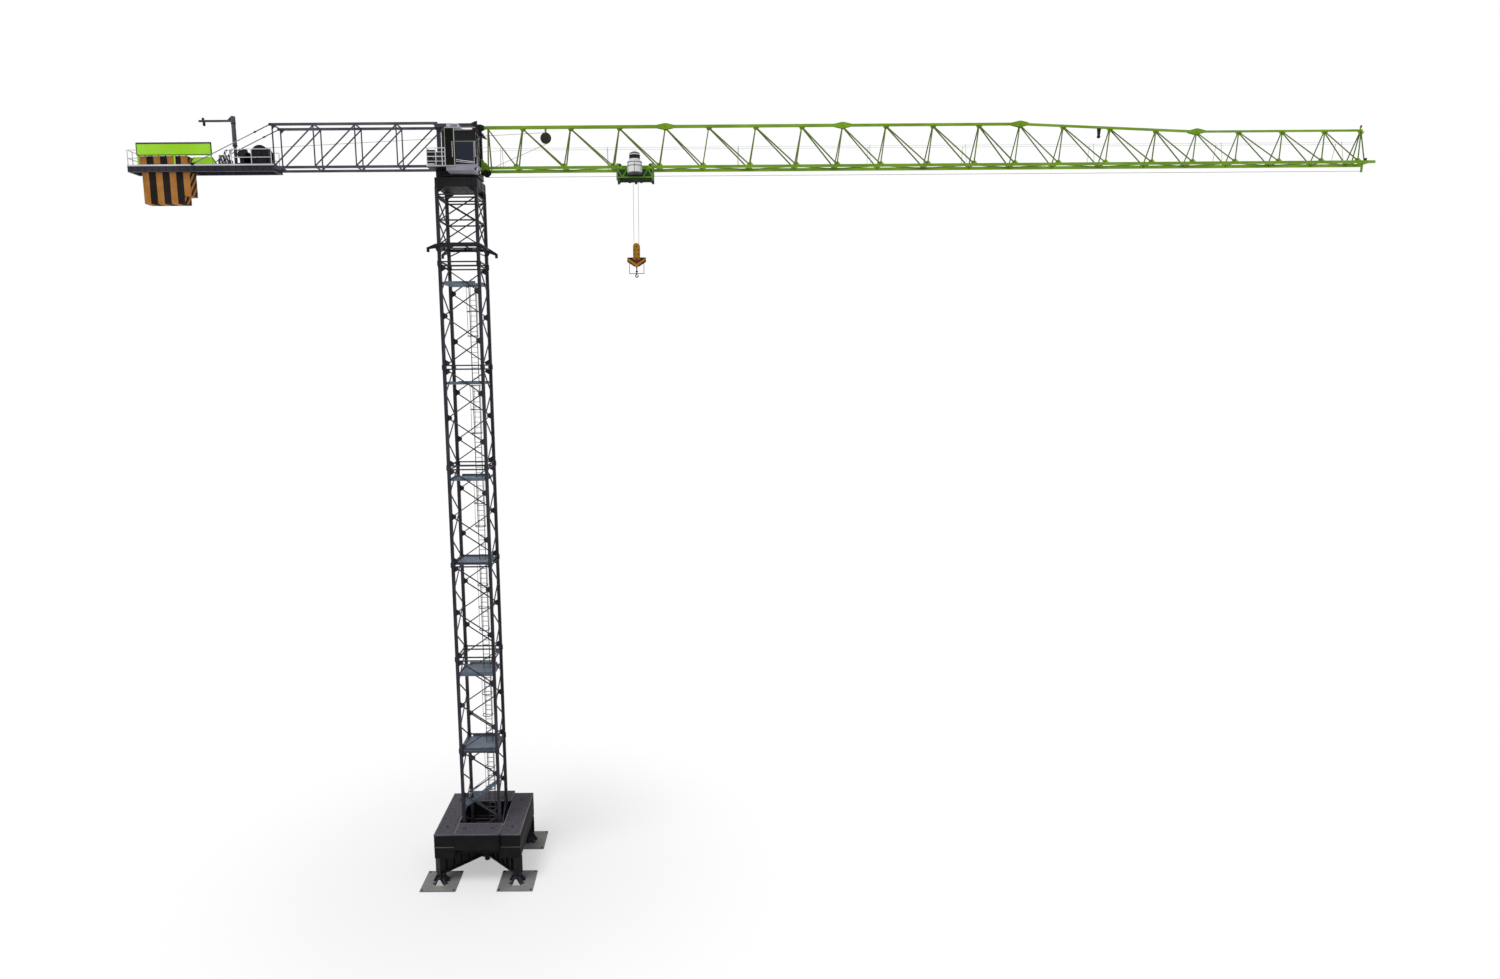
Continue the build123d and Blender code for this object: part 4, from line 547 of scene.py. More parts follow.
for low, high, open_top in ballast_blocks:
    for axis in (0, 1):
        for edge in (low[axis], high[axis]):
            outside = 1 if edge == high[axis] else -1
            proud_edge = edge + outside * angle_proud
            strip_low, strip_high = list(low), list(high)
            strip_low[axis], strip_high[axis] = sorted((edge - outside * angle_proud, proud_edge))
            strip_low[2], strip_high[2] = high[2] - angle_leg, high[2]
            add_block(work, strip_low, strip_high)
            if open_top:
                strip_low[axis], strip_high[axis] = sorted((edge - outside * angle_leg, proud_edge))
                strip_low[2], strip_high[2] = high[2], high[2] + angle_proud
                add_block(work, strip_low, strip_high)
finish_piece("ballast_edge_angles", work, "tower", edge_steel)
loop_radius = 0.05
loop_bar = 0.009
work = bmesh.new()
for low, high, open_top in ballast_blocks:
    if open_top:
        centre_x, centre_y = (low[0] + high[0]) / 2, (low[1] + high[1]) / 2
        long_way = 0 if high[0] - low[0] > high[1] - low[1] else 1
        reach = (high[long_way] - low[long_way]) * 0.32
        for side in sides_of_centre:
            middle = Vector((centre_x, centre_y, high[2] - loop_bar))
            middle[long_way] += side * reach
            add_loop(work, middle, long_way, loop_radius, loop_radius * 1.2, 8, loop_bar)
finish_piece("ballast_lifting_loops", work, "tower", bolt_steel)


# The mast is six welded sections of square legs and zigzag bracing, painted charcoal. Gusset
# plates are welded in where the bracing meets the legs, and bolts close the sleeves at each joint.
def four_sides():
    """The outward and the sideways direction of each side of the mast."""
    turns = [Matrix.Rotation(quarter * math.pi / 2, 3, "Z") for quarter in range(4)]
    return [(turn @ Vector((0, -1, 0)), turn @ Vector((1, 0, 0))) for turn in turns]


mast_charcoal = painted_steel("mast_charcoal", (34, 32, 40), (54, 51, 62), (112, 110, 120))
dress(mast_charcoal, "mast_legs", "mast_bracing_front", "mast_bracing_rear", "mast_bracing_left",
      "mast_bracing_right", "top_unit_bracing")
joint_dark = painted_steel("joint_dark", (22, 21, 27), (36, 34, 42), (84, 82, 92))
dress(joint_dark, "mast_collar")
joint_levels = [1.04 + 2.9 * number for number in range(7)]
joint_bar_half = 0.055
zigzag_step = 0.6975
leg_half = 0.044
gusset_near = [(0.0, -0.10), (0.0, 0.10), (-0.115, 0.035), (-0.115, -0.035)]
work = bmesh.new()
for section in range(6):
    for node in range(5):
        level = joint_levels[section] + joint_bar_half + zigzag_step * node
        level = min(max(level, joint_levels[section] + 0.12), joint_levels[section + 1] - 0.12)
        side = 1 if node % 2 else -1
        outline = [(side * (leg_reach - leg_half + a), b) for a, b in gusset_near]
        for out, across in four_sides():
            add_plate(work, outline, out * leg_reach + Vector((0, 0, level)), across, (0, 0, 1), 0.01)
finish_piece("mast_gussets", work, "tower", mast_charcoal)
sleeve_half = 0.058
joint_bolts = []
for level in joint_levels:
    for x, y in leg_places:
        out_x, out_y = math.copysign(1, x), math.copysign(1, y)
        for step in (-0.048, -0.018, 0.018, 0.048):
            joint_bolts.append(((x + out_x * sleeve_half, y, level + step), (out_x, 0, 0)))
            joint_bolts.append(((x, y + out_y * sleeve_half, level + step), (0, out_y, 0)))
repeat_on("mast_joint_bolts", bolt_tree, joint_bolts, "tower", "mast_steel", bolt_steel,
          head_radius=0.009, head_height=0.008, washer_radius=0.013, washer_height=0.002)


# Inside the mast, chequer-plate landings and short ladders lead up to the cab. Each landing has
# an upturned edge that keeps tools from falling, and a hinged lid with a handle over its hatch.
def chequer_group():
    """Raised crossing ribs of a chequer plate, as a height, and the worn tops of the ribs, as a mask."""
    tree, given = new_tree("chequer_plate", "ShaderNodeTree", [("NodeSocketFloat", "Rib Scale", 7.0)],
                           [("NodeSocketFloat", "Height"), ("NodeSocketFloat", "Worn")])
    place = add_node(tree, "ShaderNodeTexCoord")
    waves = []
    for angle in (45, -45):
        turned = add_node(tree, "ShaderNodeMapping", {
            "Vector": place.outputs["Object"], "Rotation": (0, 0, math.radians(angle))})
        wave = add_node(tree, "ShaderNodeTexWave", {
            "Vector": turned.outputs["Vector"], "Scale": given["Rib Scale"], "Distortion": 0.0})
        waves.append(wave.outputs["Fac"])
    ribs = maths(tree, "MULTIPLY", *waves)
    add_node(tree, "NodeGroupOutput", {"Height": ribs, "Worn": ranged(tree, ribs, 0.55, 0.85)})
    return tree


chequer_plate = chequer_group()


def add_relief(material, height, distance, strength=1.0):
    """Lays a coarser relief over the grit of a painted steel."""
    tree = material.node_tree
    bump = add_node(tree, "ShaderNodeBump", {
        "Strength": strength, "Distance": distance, "Height": height,
        "Normal": tree.nodes["grit_bump"].outputs["Normal"]})
    set_inputs(tree, tree.nodes["surface"], {"Normal": bump.outputs["Normal"]})


def add_chequer(material, worn_paint):
    """Lays a chequer pattern over a painted steel."""
    pattern = add_node(material.node_tree, "ShaderNodeGroup", node_tree=chequer_plate)
    two_tone(material, pattern.outputs["Worn"], worn_paint, worn_paint)
    add_relief(material, pattern.outputs["Height"], 0.003, 0.6)


landing_steel = painted_steel("landing_steel", (74, 90, 106), (98, 112, 126), (128, 138, 148))
add_chequer(landing_steel, (128, 142, 156))
dress(landing_steel, "mast_landings", "access_stair")
ladder_steel = painted_steel("ladder_steel", (58, 60, 68), (80, 82, 88), (120, 120, 126))
dress(ladder_steel, "mast_ladders")
landing_tops = [level + 0.02 for level in (3.8994, 6.3006, 9.74, 12.2514, 15.0499, 17.8803)]
toe_reach = 0.526
toe_length = 0.43
toe_height = 0.06
lid_low, lid_high = (-0.022, -0.302), (0.402, 0.104)
work = bmesh.new()
for top in landing_tops:
    for side in sides_of_centre:
        toe = side * toe_reach
        add_block(work, (-toe_length, toe - 0.003, top), (toe_length, toe + 0.003, top + toe_height))
        add_block(work, (toe - 0.003, -toe_length, top), (toe + 0.003, toe_length, top + toe_height))
    add_block(work, (*lid_low, top), (*lid_high, top + 0.007))
    for x in (0.06, 0.32):
        add_rod(work, (x - 0.03, lid_low[1], top + 0.008), (x + 0.03, lid_low[1], top + 0.008), 0.009)
    add_line(work, [(0.13, 0.06, top + 0.005), (0.13, 0.06, top + 0.035), (0.25, 0.06, top + 0.035),
                    (0.25, 0.06, top + 0.005)], 0.005)
finish_piece("landing_toe_boards_and_lids", work, "tower", landing_steel)

# The head of the mast is a deep welded box, nearly black, that carries the slewing ring. Cover
# straps with bolts run down the middle of its faces, and ring bolts stand round the toothed ring.
head_paint = painted_steel("head_paint", (22, 25, 26), (32, 35, 36), (64, 66, 62))
dress(head_paint, "slew_support", "slewing_ring", "turntable", "jib_guide_sheave")
drive_grey = painted_steel("drive_grey", (64, 66, 70), (84, 86, 90), (116, 116, 118))
dress(drive_grey, "slew_drives")
head_half = 0.5875
head_low, head_top = 20.525, 20.775
strap_half = 0.022
work = bmesh.new()
head_bolts = []
for out, across in four_sides():
    for place, half_width in ((0.0, strap_half), (-0.5, 0.05), (0.5, 0.05)):
        outline = oblong(place - half_width, head_low + 0.004, place + half_width, head_top - 0.004)
        add_plate(work, outline, out * (head_half + 0.002), across, (0, 0, 1), 0.008)
        for step in range(5):
            level = head_low + 0.03 + 0.0475 * step
            spot = out * (head_half + 0.006) + across * place + Vector((0, 0, level))
            head_bolts.append((tuple(spot), tuple(out)))
    outline = oblong(-0.5, head_low - 0.006, 0.5, head_low + 0.012)
    add_plate(work, outline, out * (head_half + 0.004), across, (0, 0, 1), 0.012)
finish_piece("head_straps", work, "tower", joint_dark, 0.0015)
repeat_on("head_strap_bolts", bolt_tree, head_bolts, "tower", "top_steel", bolt_steel,
          head_radius=0.008, head_height=0.007, washer_radius=0.011, washer_height=0.002)
ring_bolt_count = 40
ring_bolt_circle = 0.553
ring_bolts = []
for cosine, sine in round_turn(ring_bolt_count, 0.5):
    ring_bolts.append(((ring_bolt_circle * cosine, ring_bolt_circle * sine, head_top), upward))
repeat_on("ring_bolts_fixed", bolt_tree, ring_bolts, "tower", "top_steel", bolt_steel,
          head_radius=0.011, head_height=0.012, washer_radius=0.016, washer_height=0.003)


# The turntable turns on that ring and carries everything above. Its flange is bolted down all
# round, and two geared motors with cooling ribs drive it from the sides.
def flat_bar(tree, given):
    """A bar, centred on its point."""
    return add_node(tree, "GeometryNodeMeshCube", {"Size": given["Size"]}).outputs["Mesh"]


size_input = [("NodeSocketVector", "Size", (0.1, 0.1, 0.1))]
upright_bars = repeat_tree("repeated_bars", flat_bar, "X", size_input)


def add_turned(work, profile, centre, sides=32, axis="Z"):
    """A turned part: a closed outline of radius and height, spun round a line along an axis."""
    turns = {"Z": Matrix.Identity(4), "Y": Matrix.Rotation(-math.pi / 2, 4, "X"),
             "X": Matrix.Rotation(-math.pi / 2, 4, "Y")}
    put = Matrix.Translation(centre) @ turns[axis]
    rings = []
    for cosine, sine in round_turn(sides):
        rings.append([work.verts.new(put @ Vector((r * cosine, r * sine, z))) for r, z in profile])
    for here, there in zip(rings, rings[1:] + rings[:1]):
        for step in range(len(profile)):
            after = (step + 1) % len(profile)
            work.faces.new((here[step], there[step], there[after], here[after]))


flange_top = 20.8645
flange_bolts = []
for point, direction in ring_bolts:
    if abs(point[1]) > 0.405:
        flange_bolts.append(((point[0] * 0.97, point[1] * 0.97, flange_top), upward))
repeat_on("ring_bolts_turning", bolt_tree, flange_bolts, "upper_works", "top_steel", bolt_steel,
          head_radius=0.011, head_height=0.012, washer_radius=0.016, washer_height=0.003)
drive_reach = 0.33
drive_rib_circle = 0.057
drive_ribs = []
for side in sides_of_centre:
    for cosine, sine in round_turn(18):
        spot = (side * drive_reach + drive_rib_circle * cosine, drive_rib_circle * sine, 21.255)
        drive_ribs.append((spot, (cosine, sine, 0.0)))
repeat_on("slew_motor_ribs", upright_bars, drive_ribs, "upper_works", "top_steel", drive_grey,
          size=(0.014, 0.003, 0.10))
work = bmesh.new()
for side in sides_of_centre:
    cap = [(0.0004, 0.0), (0.062, 0.0), (0.062, 0.006), (0.05, 0.02), (0.0004, 0.022)]
    add_turned(work, cap, (side * drive_reach, 0, 21.3245), 24)
    add_block(work, (side * drive_reach - 0.022, -0.092, 21.22), (side * drive_reach + 0.022, -0.05, 21.28))
finish_piece("slew_motor_caps", work, "upper_works", drive_grey, 0.001)

# The turret is a frame of square posts on the turntable. Heavy lugs at its head take the pin of
# the jib's top chord, so that corner is built up with plates and painted nearly black.
works_grey = painted_steel("works_grey", (60, 57, 68), (86, 83, 94), (150, 148, 156))
dress(works_grey, "counterjib_top_chords", "counterjib_bottom_chords", "counterjib_side_front",
      "counterjib_side_rear", "davit_post", "davit_arm", "switch_cabinet")
turret_paint = painted_steel("turret_paint", (54, 51, 62), (78, 75, 86), (140, 138, 148))
two_tone(turret_paint, band_mask(turret_paint, "X", 0.49, 0.80), (20, 20, 26), (32, 32, 38))
dress(turret_paint, "turret_frame")
lug_dark = painted_steel("lug_dark", (20, 20, 26), (34, 33, 40), (72, 72, 80))
lug_outline = [(0.56, 22.15), (0.66, 22.15), (0.74, 22.19), (0.74, 22.26), (0.66, 22.30), (0.56, 22.30)]
brow_outline = [(0.38, 22.26), (0.60, 22.26), (0.60, 22.33), (0.55, 22.33)]
post_face = 0.368
work = bmesh.new()
for side in sides_of_centre:
    stand_plate(work, lug_outline, (0, side * 0.066, 0), 0.014)
    stand_plate(work, brow_outline, (0, side * 0.30, 0), 0.02)
    for x in (-0.475, 0.545):
        for rim, tip, half_tip in ((22.16, 22.02, 0.03), (20.99, 21.13, 0.046)):
            stand_plate(work, [(x - 0.10, rim), (x + 0.10, rim), (x + half_tip, tip), (x - half_tip, tip)],
                        (0, side * post_face, 0), 0.006)
add_rod(work, (0.66, -0.085, 22.2245), (0.66, 0.085, 22.2245), 0.022, 16)
finish_piece("turret_plates", work, "upper_works", lug_dark, 0.0015)

# The cab hangs beside the turret, with a raked front, a light skirt and a dark sun visor. Black
# seals frame its panes, and a tall black side panel stands behind the window in a pale surround.
cab_grey = painted_steel("cab_grey", (132, 131, 142), (154, 153, 164), (206, 205, 214))
two_tone(cab_grey, band_mask(cab_grey, "X", 0.6935, 1.0), (14, 14, 18), (24, 24, 28))
dress(cab_grey, "cab_shell")
glass_dark, glass_shader = new_material("glass_dark")
glass_shader.inputs["Specular IOR Level"].default_value = 0.2
tree = glass_dark.node_tree
place = add_node(tree, "ShaderNodeTexCoord").outputs["Object"]
parts = add_node(tree, "ShaderNodeSeparateXYZ", {"Vector": place})
smears = add_node(tree, "ShaderNodeTexNoise", {"Vector": place, "Scale": 6.0})
upper_pane = ranged(tree, parts.outputs["Z"], 21.60, 21.70)
set_inputs(tree, glass_shader, {
    "Base Color": blended(tree, upper_pane, colour(24, 30, 46), colour(9, 9, 11)),
    "Roughness": ranged(tree, smears.outputs["Fac"], 0.0, 1.0, 0.03, 0.16)})
dress(glass_dark, "cab_glass")
panel_black = painted_steel("panel_black", (10, 14, 12), (16, 21, 18), (40, 44, 42),
                            rust_amount=0.02, gloss=0.06)
dress(panel_black, "cab_side_panel")
seal_black = painted_steel("seal_black", (10, 10, 12), (16, 16, 18), (34, 34, 36), roughness=0.55)
cab_near, cab_far = -1.01, -0.41
window_low, window_high = 21.0445, 21.8595
window_rear, window_front = 0.13, 0.65
work = bmesh.new()
seal = 0.014
for low, high in (((window_rear - seal, window_low - seal), (window_rear, window_high + seal)),
                  ((window_front, window_low - seal), (0.688, 21.93)),
                  ((window_rear - seal, window_low - seal), (window_front + seal, window_low)),
                  ((window_rear - seal, window_high), (window_front + seal, window_high + 0.05))):
    add_block(work, (low[0], cab_near - 0.006, low[1]), (high[0], cab_near + 0.002, high[1]))
for y in (cab_near + 0.03, cab_far - 0.03):
    add_block(work, (0.684, y - 0.012, 21.05), (0.696, y + 0.012, 21.80))
add_line(work, [(0.70, -0.55, 21.06), (0.712, -0.72, 21.42)], 0.005)
add_block(work, (0.700, -0.79, 21.30), (0.706, -0.77, 21.66))
finish_piece("cab_seals_and_wiper", work, "upper_works", seal_black)
surround_pale = painted_steel("surround_pale", (150, 156, 134), (168, 172, 152), (186, 188, 172))
panel_low, panel_high = 21.0045, 21.9695
work = bmesh.new()
add_block(work, (0.090, -1.026, panel_low - 0.02), (0.114, cab_near, panel_high))
add_block(work, (-0.152, -1.026, panel_low - 0.02), (-0.140, cab_near, panel_high))
add_block(work, (-0.152, -1.027, panel_low - 0.024), (0.114, cab_near, panel_low))
add_block(work, (-0.152, -1.027, panel_high), (0.690, cab_near + 0.002, panel_high + 0.022))
finish_piece("cab_panel_surround", work, "upper_works", surround_pale, 0.001)
rail_white = painted_steel("rail_white", (196, 196, 200), (220, 220, 222), (204, 204, 206),
                           rust_amount=0.2)
window_rail_green = painted_steel("window_rail_green", (96, 116, 70), (112, 130, 86), (130, 140, 110))
work = bmesh.new()
rail_near = cab_near + 0.004
add_line(work, [(0.135, rail_near, 21.150), (0.645, rail_near, 21.085)], 0.009)
add_line(work, [(0.135, rail_near, 21.105), (0.645, rail_near, 21.050)], 0.007)
add_line(work, [(0.632, rail_near, 21.06), (0.632, rail_near, 21.62)], 0.006)
grab_near = cab_near - 0.034
for x in (0.052, 0.672):
    add_line(work, [(x, cab_near - 0.002, 21.22), (x, grab_near, 21.22), (x, grab_near, 21.62),
                    (x, cab_near - 0.002, 21.62)], 0.007)
finish_piece("cab_rails", work, "upper_works", rail_white)
work = bmesh.new()
add_block(work, (0.132, cab_near + 0.003, 21.615), (0.648, cab_near + 0.012, 21.637))
finish_piece("cab_window_bar", work, "upper_works", window_rail_green, 0.002)
roof_pale = painted_steel("roof_pale", (186, 184, 198), (204, 202, 214), (214, 212, 222))
roof_top = 22.0095
unit_outline = [(-0.12, -0.01), (0.24, -0.035), (0.22, 0.10), (-0.10, 0.115)]
duct_outline = [(0.26, -0.06), (0.56, -0.10), (0.56, -0.055), (0.26, -0.02)]
work = bmesh.new()
stand_plate(work, unit_outline, (0, -0.76, roof_top), 0.36)
stand_plate(work, duct_outline, (0, -0.72, roof_top), 0.30)
finish_piece("cab_roof_unit", work, "upper_works", roof_pale, 0.012)
louvre_places = [((0.02 + 0.03 * number, -0.9415, roof_top + 0.045), (1, 0, 0)) for number in range(6)]
repeat_on("cab_roof_louvres", upright_bars, louvre_places, "upper_works", "panel_black", seal_black,
          size=(0.012, 0.006, 0.06))
lamp_white = painted_steel("lamp_white", (228, 230, 226), (238, 238, 234), (220, 220, 216),
                           roughness=0.1, rust_amount=0.0)
lamp_places = (-0.92, -0.50)
work = bmesh.new()
for y in lamp_places:
    add_rod(work, (0.61, y, 20.93), (0.68, y, 20.912), 0.022, 18, 0.045)
    add_rod(work, (0.55, y, 20.955), (0.63, y, 20.926), 0.010, 10)
finish_piece("cab_floodlight_cases", work, "upper_works", seal_black)
work = bmesh.new()
for y in lamp_places:
    add_rod(work, (0.680, y, 20.912), (0.686, y, 20.9105), 0.041, 18, 0.036)
finish_piece("cab_floodlight_lenses", work, "upper_works", lamp_white)

# Behind the cab a small platform with a white guard rail carries a dark switch cabinet with
# vents in its door. The platform is a chequer plate on a frame, with a painted shade under its deck.
platform_paint = painted_steel("platform_paint", (150, 149, 158), (172, 171, 180), (206, 206, 212))
two_tone(platform_paint, band_mask(platform_paint, "Z", 21.0155, 21.6), (214, 214, 218), (230, 230, 232))
# The band under the deck is painted dark, a painted shade under the deck.
two_tone(platform_paint, band_mask(platform_paint, "Z", 20.90, 20.996), (26, 26, 32), (38, 38, 44))
dress(platform_paint, "service_platform")
cabinet_dark = painted_steel("cabinet_dark", (34, 33, 42), (48, 47, 56), (110, 108, 118))
dress(cabinet_dark, "service_cabinet")
platform_top = 21.0145
rail_rear, rail_front, rail_edge, rail_far = -0.691, -0.189, -0.891, -0.40
work = bmesh.new()
for level in (platform_top + 0.012, platform_top + 0.125, platform_top + 0.365):
    add_line(work, [(rail_rear, rail_edge, level), (rail_front, rail_edge, level)], 0.009)
for level in (platform_top + 0.245, platform_top + 0.471):
    add_line(work, [(rail_rear, rail_edge, level), (rail_rear, rail_far, level),
                    (rail_rear, rail_far, platform_top)], 0.009)
for x in (rail_rear, rail_front):
    bmesh.ops.create_icosphere(work, subdivisions=2, radius=0.012,
                               matrix=Matrix.Translation((x, rail_edge, platform_top + 0.478)))
finish_piece("platform_rails", work, "upper_works", rail_white)
vents = [((-0.59, -0.8535, platform_top + 0.10 + 0.022 * number), (1, 0, 0)) for number in range(13)]
repeat_on("cabinet_vents", upright_bars, vents, "upper_works", "panel_black", lug_dark,
          size=(0.16, 0.006, 0.010))
work = bmesh.new()
add_block(work, (-0.695, -0.856, platform_top + 0.035), (-0.489, -0.852, platform_top + 0.075))
add_line(work, [(-0.504, -0.853, platform_top + 0.2), (-0.504, -0.868, platform_top + 0.2),
                (-0.504, -0.868, platform_top + 0.27), (-0.504, -0.853, platform_top + 0.27)], 0.004)
finish_piece("cabinet_door_fittings", work, "upper_works", rail_white)

# The counter-jib deck is two plate girders with ribs on their webs and a chequer-plate floor. A
# white toe board runs along the top of each girder. White rails stand beside the winch.
deck_grey = painted_steel("deck_grey", (36, 35, 45), (52, 50, 60), (122, 120, 130), dust_amount=0.8)
add_chequer(deck_grey, (84, 82, 92))
dress(deck_grey, "counterjib_deck")
dress(rail_white, "counterjib_handrails")
deck_rear, deck_front = -9.275, -5.15
deck_low, deck_top = 21.0395, 21.2095
deck_half = 0.27
work = bmesh.new()
for side in sides_of_centre:
    inner, outer = sorted((side * (deck_half - 0.004), side * (deck_half + 0.004)))
    add_block(work, (deck_rear, inner, deck_top - 0.012), (deck_front, outer, deck_top + 0.03))
add_block(work, (deck_rear - 0.004, -deck_half, deck_top - 0.012),
          (deck_rear + 0.004, deck_half, deck_top + 0.014))
finish_piece("deck_toe_boards", work, "upper_works", rail_white)
web_ribs = []
for number in range(21):
    for side in sides_of_centre:
        x = deck_rear + 0.1 + 0.196 * number
        web_ribs.append(((x, side * (deck_half + 0.002), (deck_low + deck_top) / 2 - 0.008), (1, 0, 0)))
repeat_on("deck_web_ribs", upright_bars, web_ribs, "upper_works", "counterjib_grey", lug_dark,
          size=(0.012, 0.008, 0.134))
work = bmesh.new()
for side in sides_of_centre:
    for level in (deck_low + 0.006, deck_top - 0.02):
        inner, outer = sorted((side * deck_half, side * (deck_half + 0.009)))
        add_block(work, (deck_rear, inner, level - 0.006), (deck_front, outer, level + 0.006))
finish_piece("deck_girder_flanges", work, "upper_works", works_grey)
tie_paint = painted_steel("tie_paint", (120, 118, 126), (146, 144, 150), (160, 158, 164))
for rear, front in ((-5.64, -5.15), (-7.55, -7.34)):
    two_tone(tie_paint, band_mask(tie_paint, "X", rear, front), (30, 30, 38), (44, 44, 52))
dress(tie_paint, "tie_bars")
tie_face = 0.3045
pin_places = []
for side in sides_of_centre:
    for x, level in ((-7.44, 21.2445), (-5.185, 22.2895)):
        pin_places.append(((x, side * tie_face, level), (0, side, 0)))
repeat_on("tie_pins", bolt_tree, pin_places, "upper_works", "counterjib_grey", lug_dark,
          head_radius=0.017, head_height=0.004, washer_radius=0.024, washer_height=0.003)


# The counterweights are T-shaped slabs that hang through the deck, painted ochre and black in
# turn, with slanting warning stripes on the faces that look back along the jib.
def stripe_group():
    """Stripes of equal width along a direction, folded to a chevron where a second one is given."""
    tree, given = new_tree(
        "warning_stripes", "ShaderNodeTree",
        [("NodeSocketVector", "Centre", (0, 0, 0)), ("NodeSocketVector", "Along", (1, 0, 0)),
         ("NodeSocketVector", "Folded Along", (0, 0, 0)), ("NodeSocketFloat", "Pitch", 0.2)],
        [("NodeSocketFloat", "Mask")])
    place = add_node(tree, "ShaderNodeTexCoord").outputs["Object"]
    offset = add_node(tree, "ShaderNodeVectorMath", {0: place, 1: given["Centre"]}, operation="SUBTRACT")
    reaches = []
    for label in ("Along", "Folded Along"):
        reach = add_node(tree, "ShaderNodeVectorMath", {0: offset.outputs["Vector"], 1: given[label]},
                         operation="DOT_PRODUCT")
        reaches.append(reach.outputs["Value"])
    total = maths(tree, "ADD", reaches[0], maths(tree, "ABSOLUTE", reaches[1]))
    part = maths(tree, "FRACT", maths(tree, "DIVIDE", total, given["Pitch"]))
    add_node(tree, "NodeGroupOutput", {"Mask": maths(tree, "GREATER_THAN", part, 0.5)})
    return tree


warning_stripes = stripe_group()


def stripe_mask(material, centre, along, pitch, folded_along=(0, 0, 0)):
    """The mask of warning stripes, placed in a material."""
    tree = material.node_tree
    stripes = add_node(tree, "ShaderNodeGroup", node_tree=warning_stripes)
    set_inputs(tree, stripes, {
        "Centre": centre, "Along": along, "Folded Along": folded_along, "Pitch": pitch})
    return stripes.outputs["Mask"]


slab_first = -8.925
slab_pitch = 0.192
slab_thickness = 0.184
slab_ochre = ((160, 106, 48), (180, 124, 62))
slab_black = ((22, 18, 16), (34, 28, 26))
slab_paint = painted_steel("slab_paint", *slab_ochre, (190, 154, 104),
                           rust_amount=0.08, patch_scale=3.0, roughness=0.6, relief=0.004)
by_turns = stripe_mask(slab_paint, (slab_first - 0.004, 0, 0), (1, 0, 0), 2 * slab_pitch)
two_tone(slab_paint, by_turns, *slab_black)
hatched = band_mask(slab_paint, "X", 0.6, 1.1, "Normal")
hatch = stripe_mask(slab_paint, (0, 0, 0), (0, -0.76, 0.65), 0.16)
two_tone(slab_paint, hatched, *slab_ochre)
hatched_black = maths(slab_paint.node_tree, "MULTIPLY", hatched, hatch)
two_tone(slab_paint, hatched_black, *slab_black)
dress(slab_paint, "counterweights")
work = bmesh.new()
for number in range(7):
    x = slab_first + slab_pitch * number + slab_thickness / 2
    for side in sides_of_centre:
        add_loop(work, (x, side * 0.12, 21.4695), 1, 0.03, 0.04, 6, 0.006)
finish_piece("slab_lifting_loops", work, "upper_works", bolt_steel)

# The sign boards are bare sheets on the near edge of the deck, riveted to a frame of thin angles.
# The long one has a dark edge all round and ribs behind, and the low one has dark sloping ends.
board_green = painted_steel("board_green", (152, 212, 40), (168, 226, 64), (186, 230, 112),
                            rust_amount=0.04, patch_scale=0.8)
dress(board_green, "sign_board", "low_board")
board_rear, board_front, board_low, board_high = -8.98, -6.885, 21.4895, 21.8245
edge_dark = painted_steel("edge_dark", (34, 42, 20), (48, 56, 32), (80, 88, 60))
work = bmesh.new()
near = -deck_half
for low, high in (((board_rear, board_high - 0.032), (board_front, board_high + 0.006)),
                  ((board_rear, board_low - 0.006), (board_front, board_low + 0.012)),
                  ((board_rear - 0.006, board_low), (board_rear + 0.014, board_high)),
                  ((board_front - 0.014, board_low), (board_front + 0.006, board_high))):
    add_block(work, (low[0], near - 0.005, low[1]), (high[0], near + 0.03, high[1]))
for number in range(6):
    x = board_rear + 0.2 + 0.34 * number
    add_block(work, (x - 0.012, near + 0.024, board_low), (x + 0.012, near + 0.042, board_high))
for side, end in ((1, -7.55), (-1, -6.74)):
    stand_plate(work, [(end, deck_top), (end + side * 0.022, deck_top), (end + side * 0.162, 21.4345),
                       (end + side * 0.14, 21.4345)], (0, -0.234, 0), 0.030)
finish_piece("sign_frame", work, "upper_works", edge_dark)
rivets = []
for number in range(19):
    x = board_rear + 0.04 + 0.112 * number
    for level in (board_low + 0.03, board_high - 0.035):
        rivets.append(((x, near, level), (0, -1, 0)))
repeat_on("sign_rivets", bolt_tree, rivets, "upper_works", "sign_green", edge_dark,
          head_radius=0.004, head_height=0.002, washer_radius=0.006, washer_height=0.0015)


# The hoist winch is a grooved drum between side plates, with its gearbox at the far end and a
# ribbed motor behind. Steel wire rope lies on the drum in close turns.
def lay_group():
    """The slanting lines of the strands of a wire rope, as a height and as a mask."""
    tree, given = new_tree(
        "rope_lay", "ShaderNodeTree",
        [("NodeSocketVector", "Strand Direction", (1, 0, 1)), ("NodeSocketFloat", "Strand Scale", 60.0)],
        [("NodeSocketFloat", "Height"), ("NodeSocketFloat", "Groove")])
    place = add_node(tree, "ShaderNodeTexCoord").outputs["Object"]
    along = add_node(tree, "ShaderNodeVectorMath", {0: place, 1: given["Strand Direction"]},
                     operation="DOT_PRODUCT")
    turns = maths(tree, "MULTIPLY", along.outputs["Value"], given["Strand Scale"])
    wave = maths(tree, "PINGPONG", turns, 0.5)
    add_node(tree, "NodeGroupOutput", {"Height": wave, "Groove": ranged(tree, wave, 0.22, 0.06)})
    return tree


rope_lay = lay_group()


def wire_rope(name, strand_direction):
    """Greased steel rope with its strands laid along a direction."""
    made = painted_steel(name, (84, 84, 88), (108, 108, 110), (120, 118, 116),
                         rust_amount=0.3, roughness=0.42, metal=0.5)
    lay = add_node(made.node_tree, "ShaderNodeGroup", node_tree=rope_lay)
    lay.inputs["Strand Direction"].default_value = strand_direction
    two_tone(made, lay.outputs["Groove"], (26, 26, 28), (34, 34, 34))
    add_relief(made, lay.outputs["Height"], 0.002)
    return made


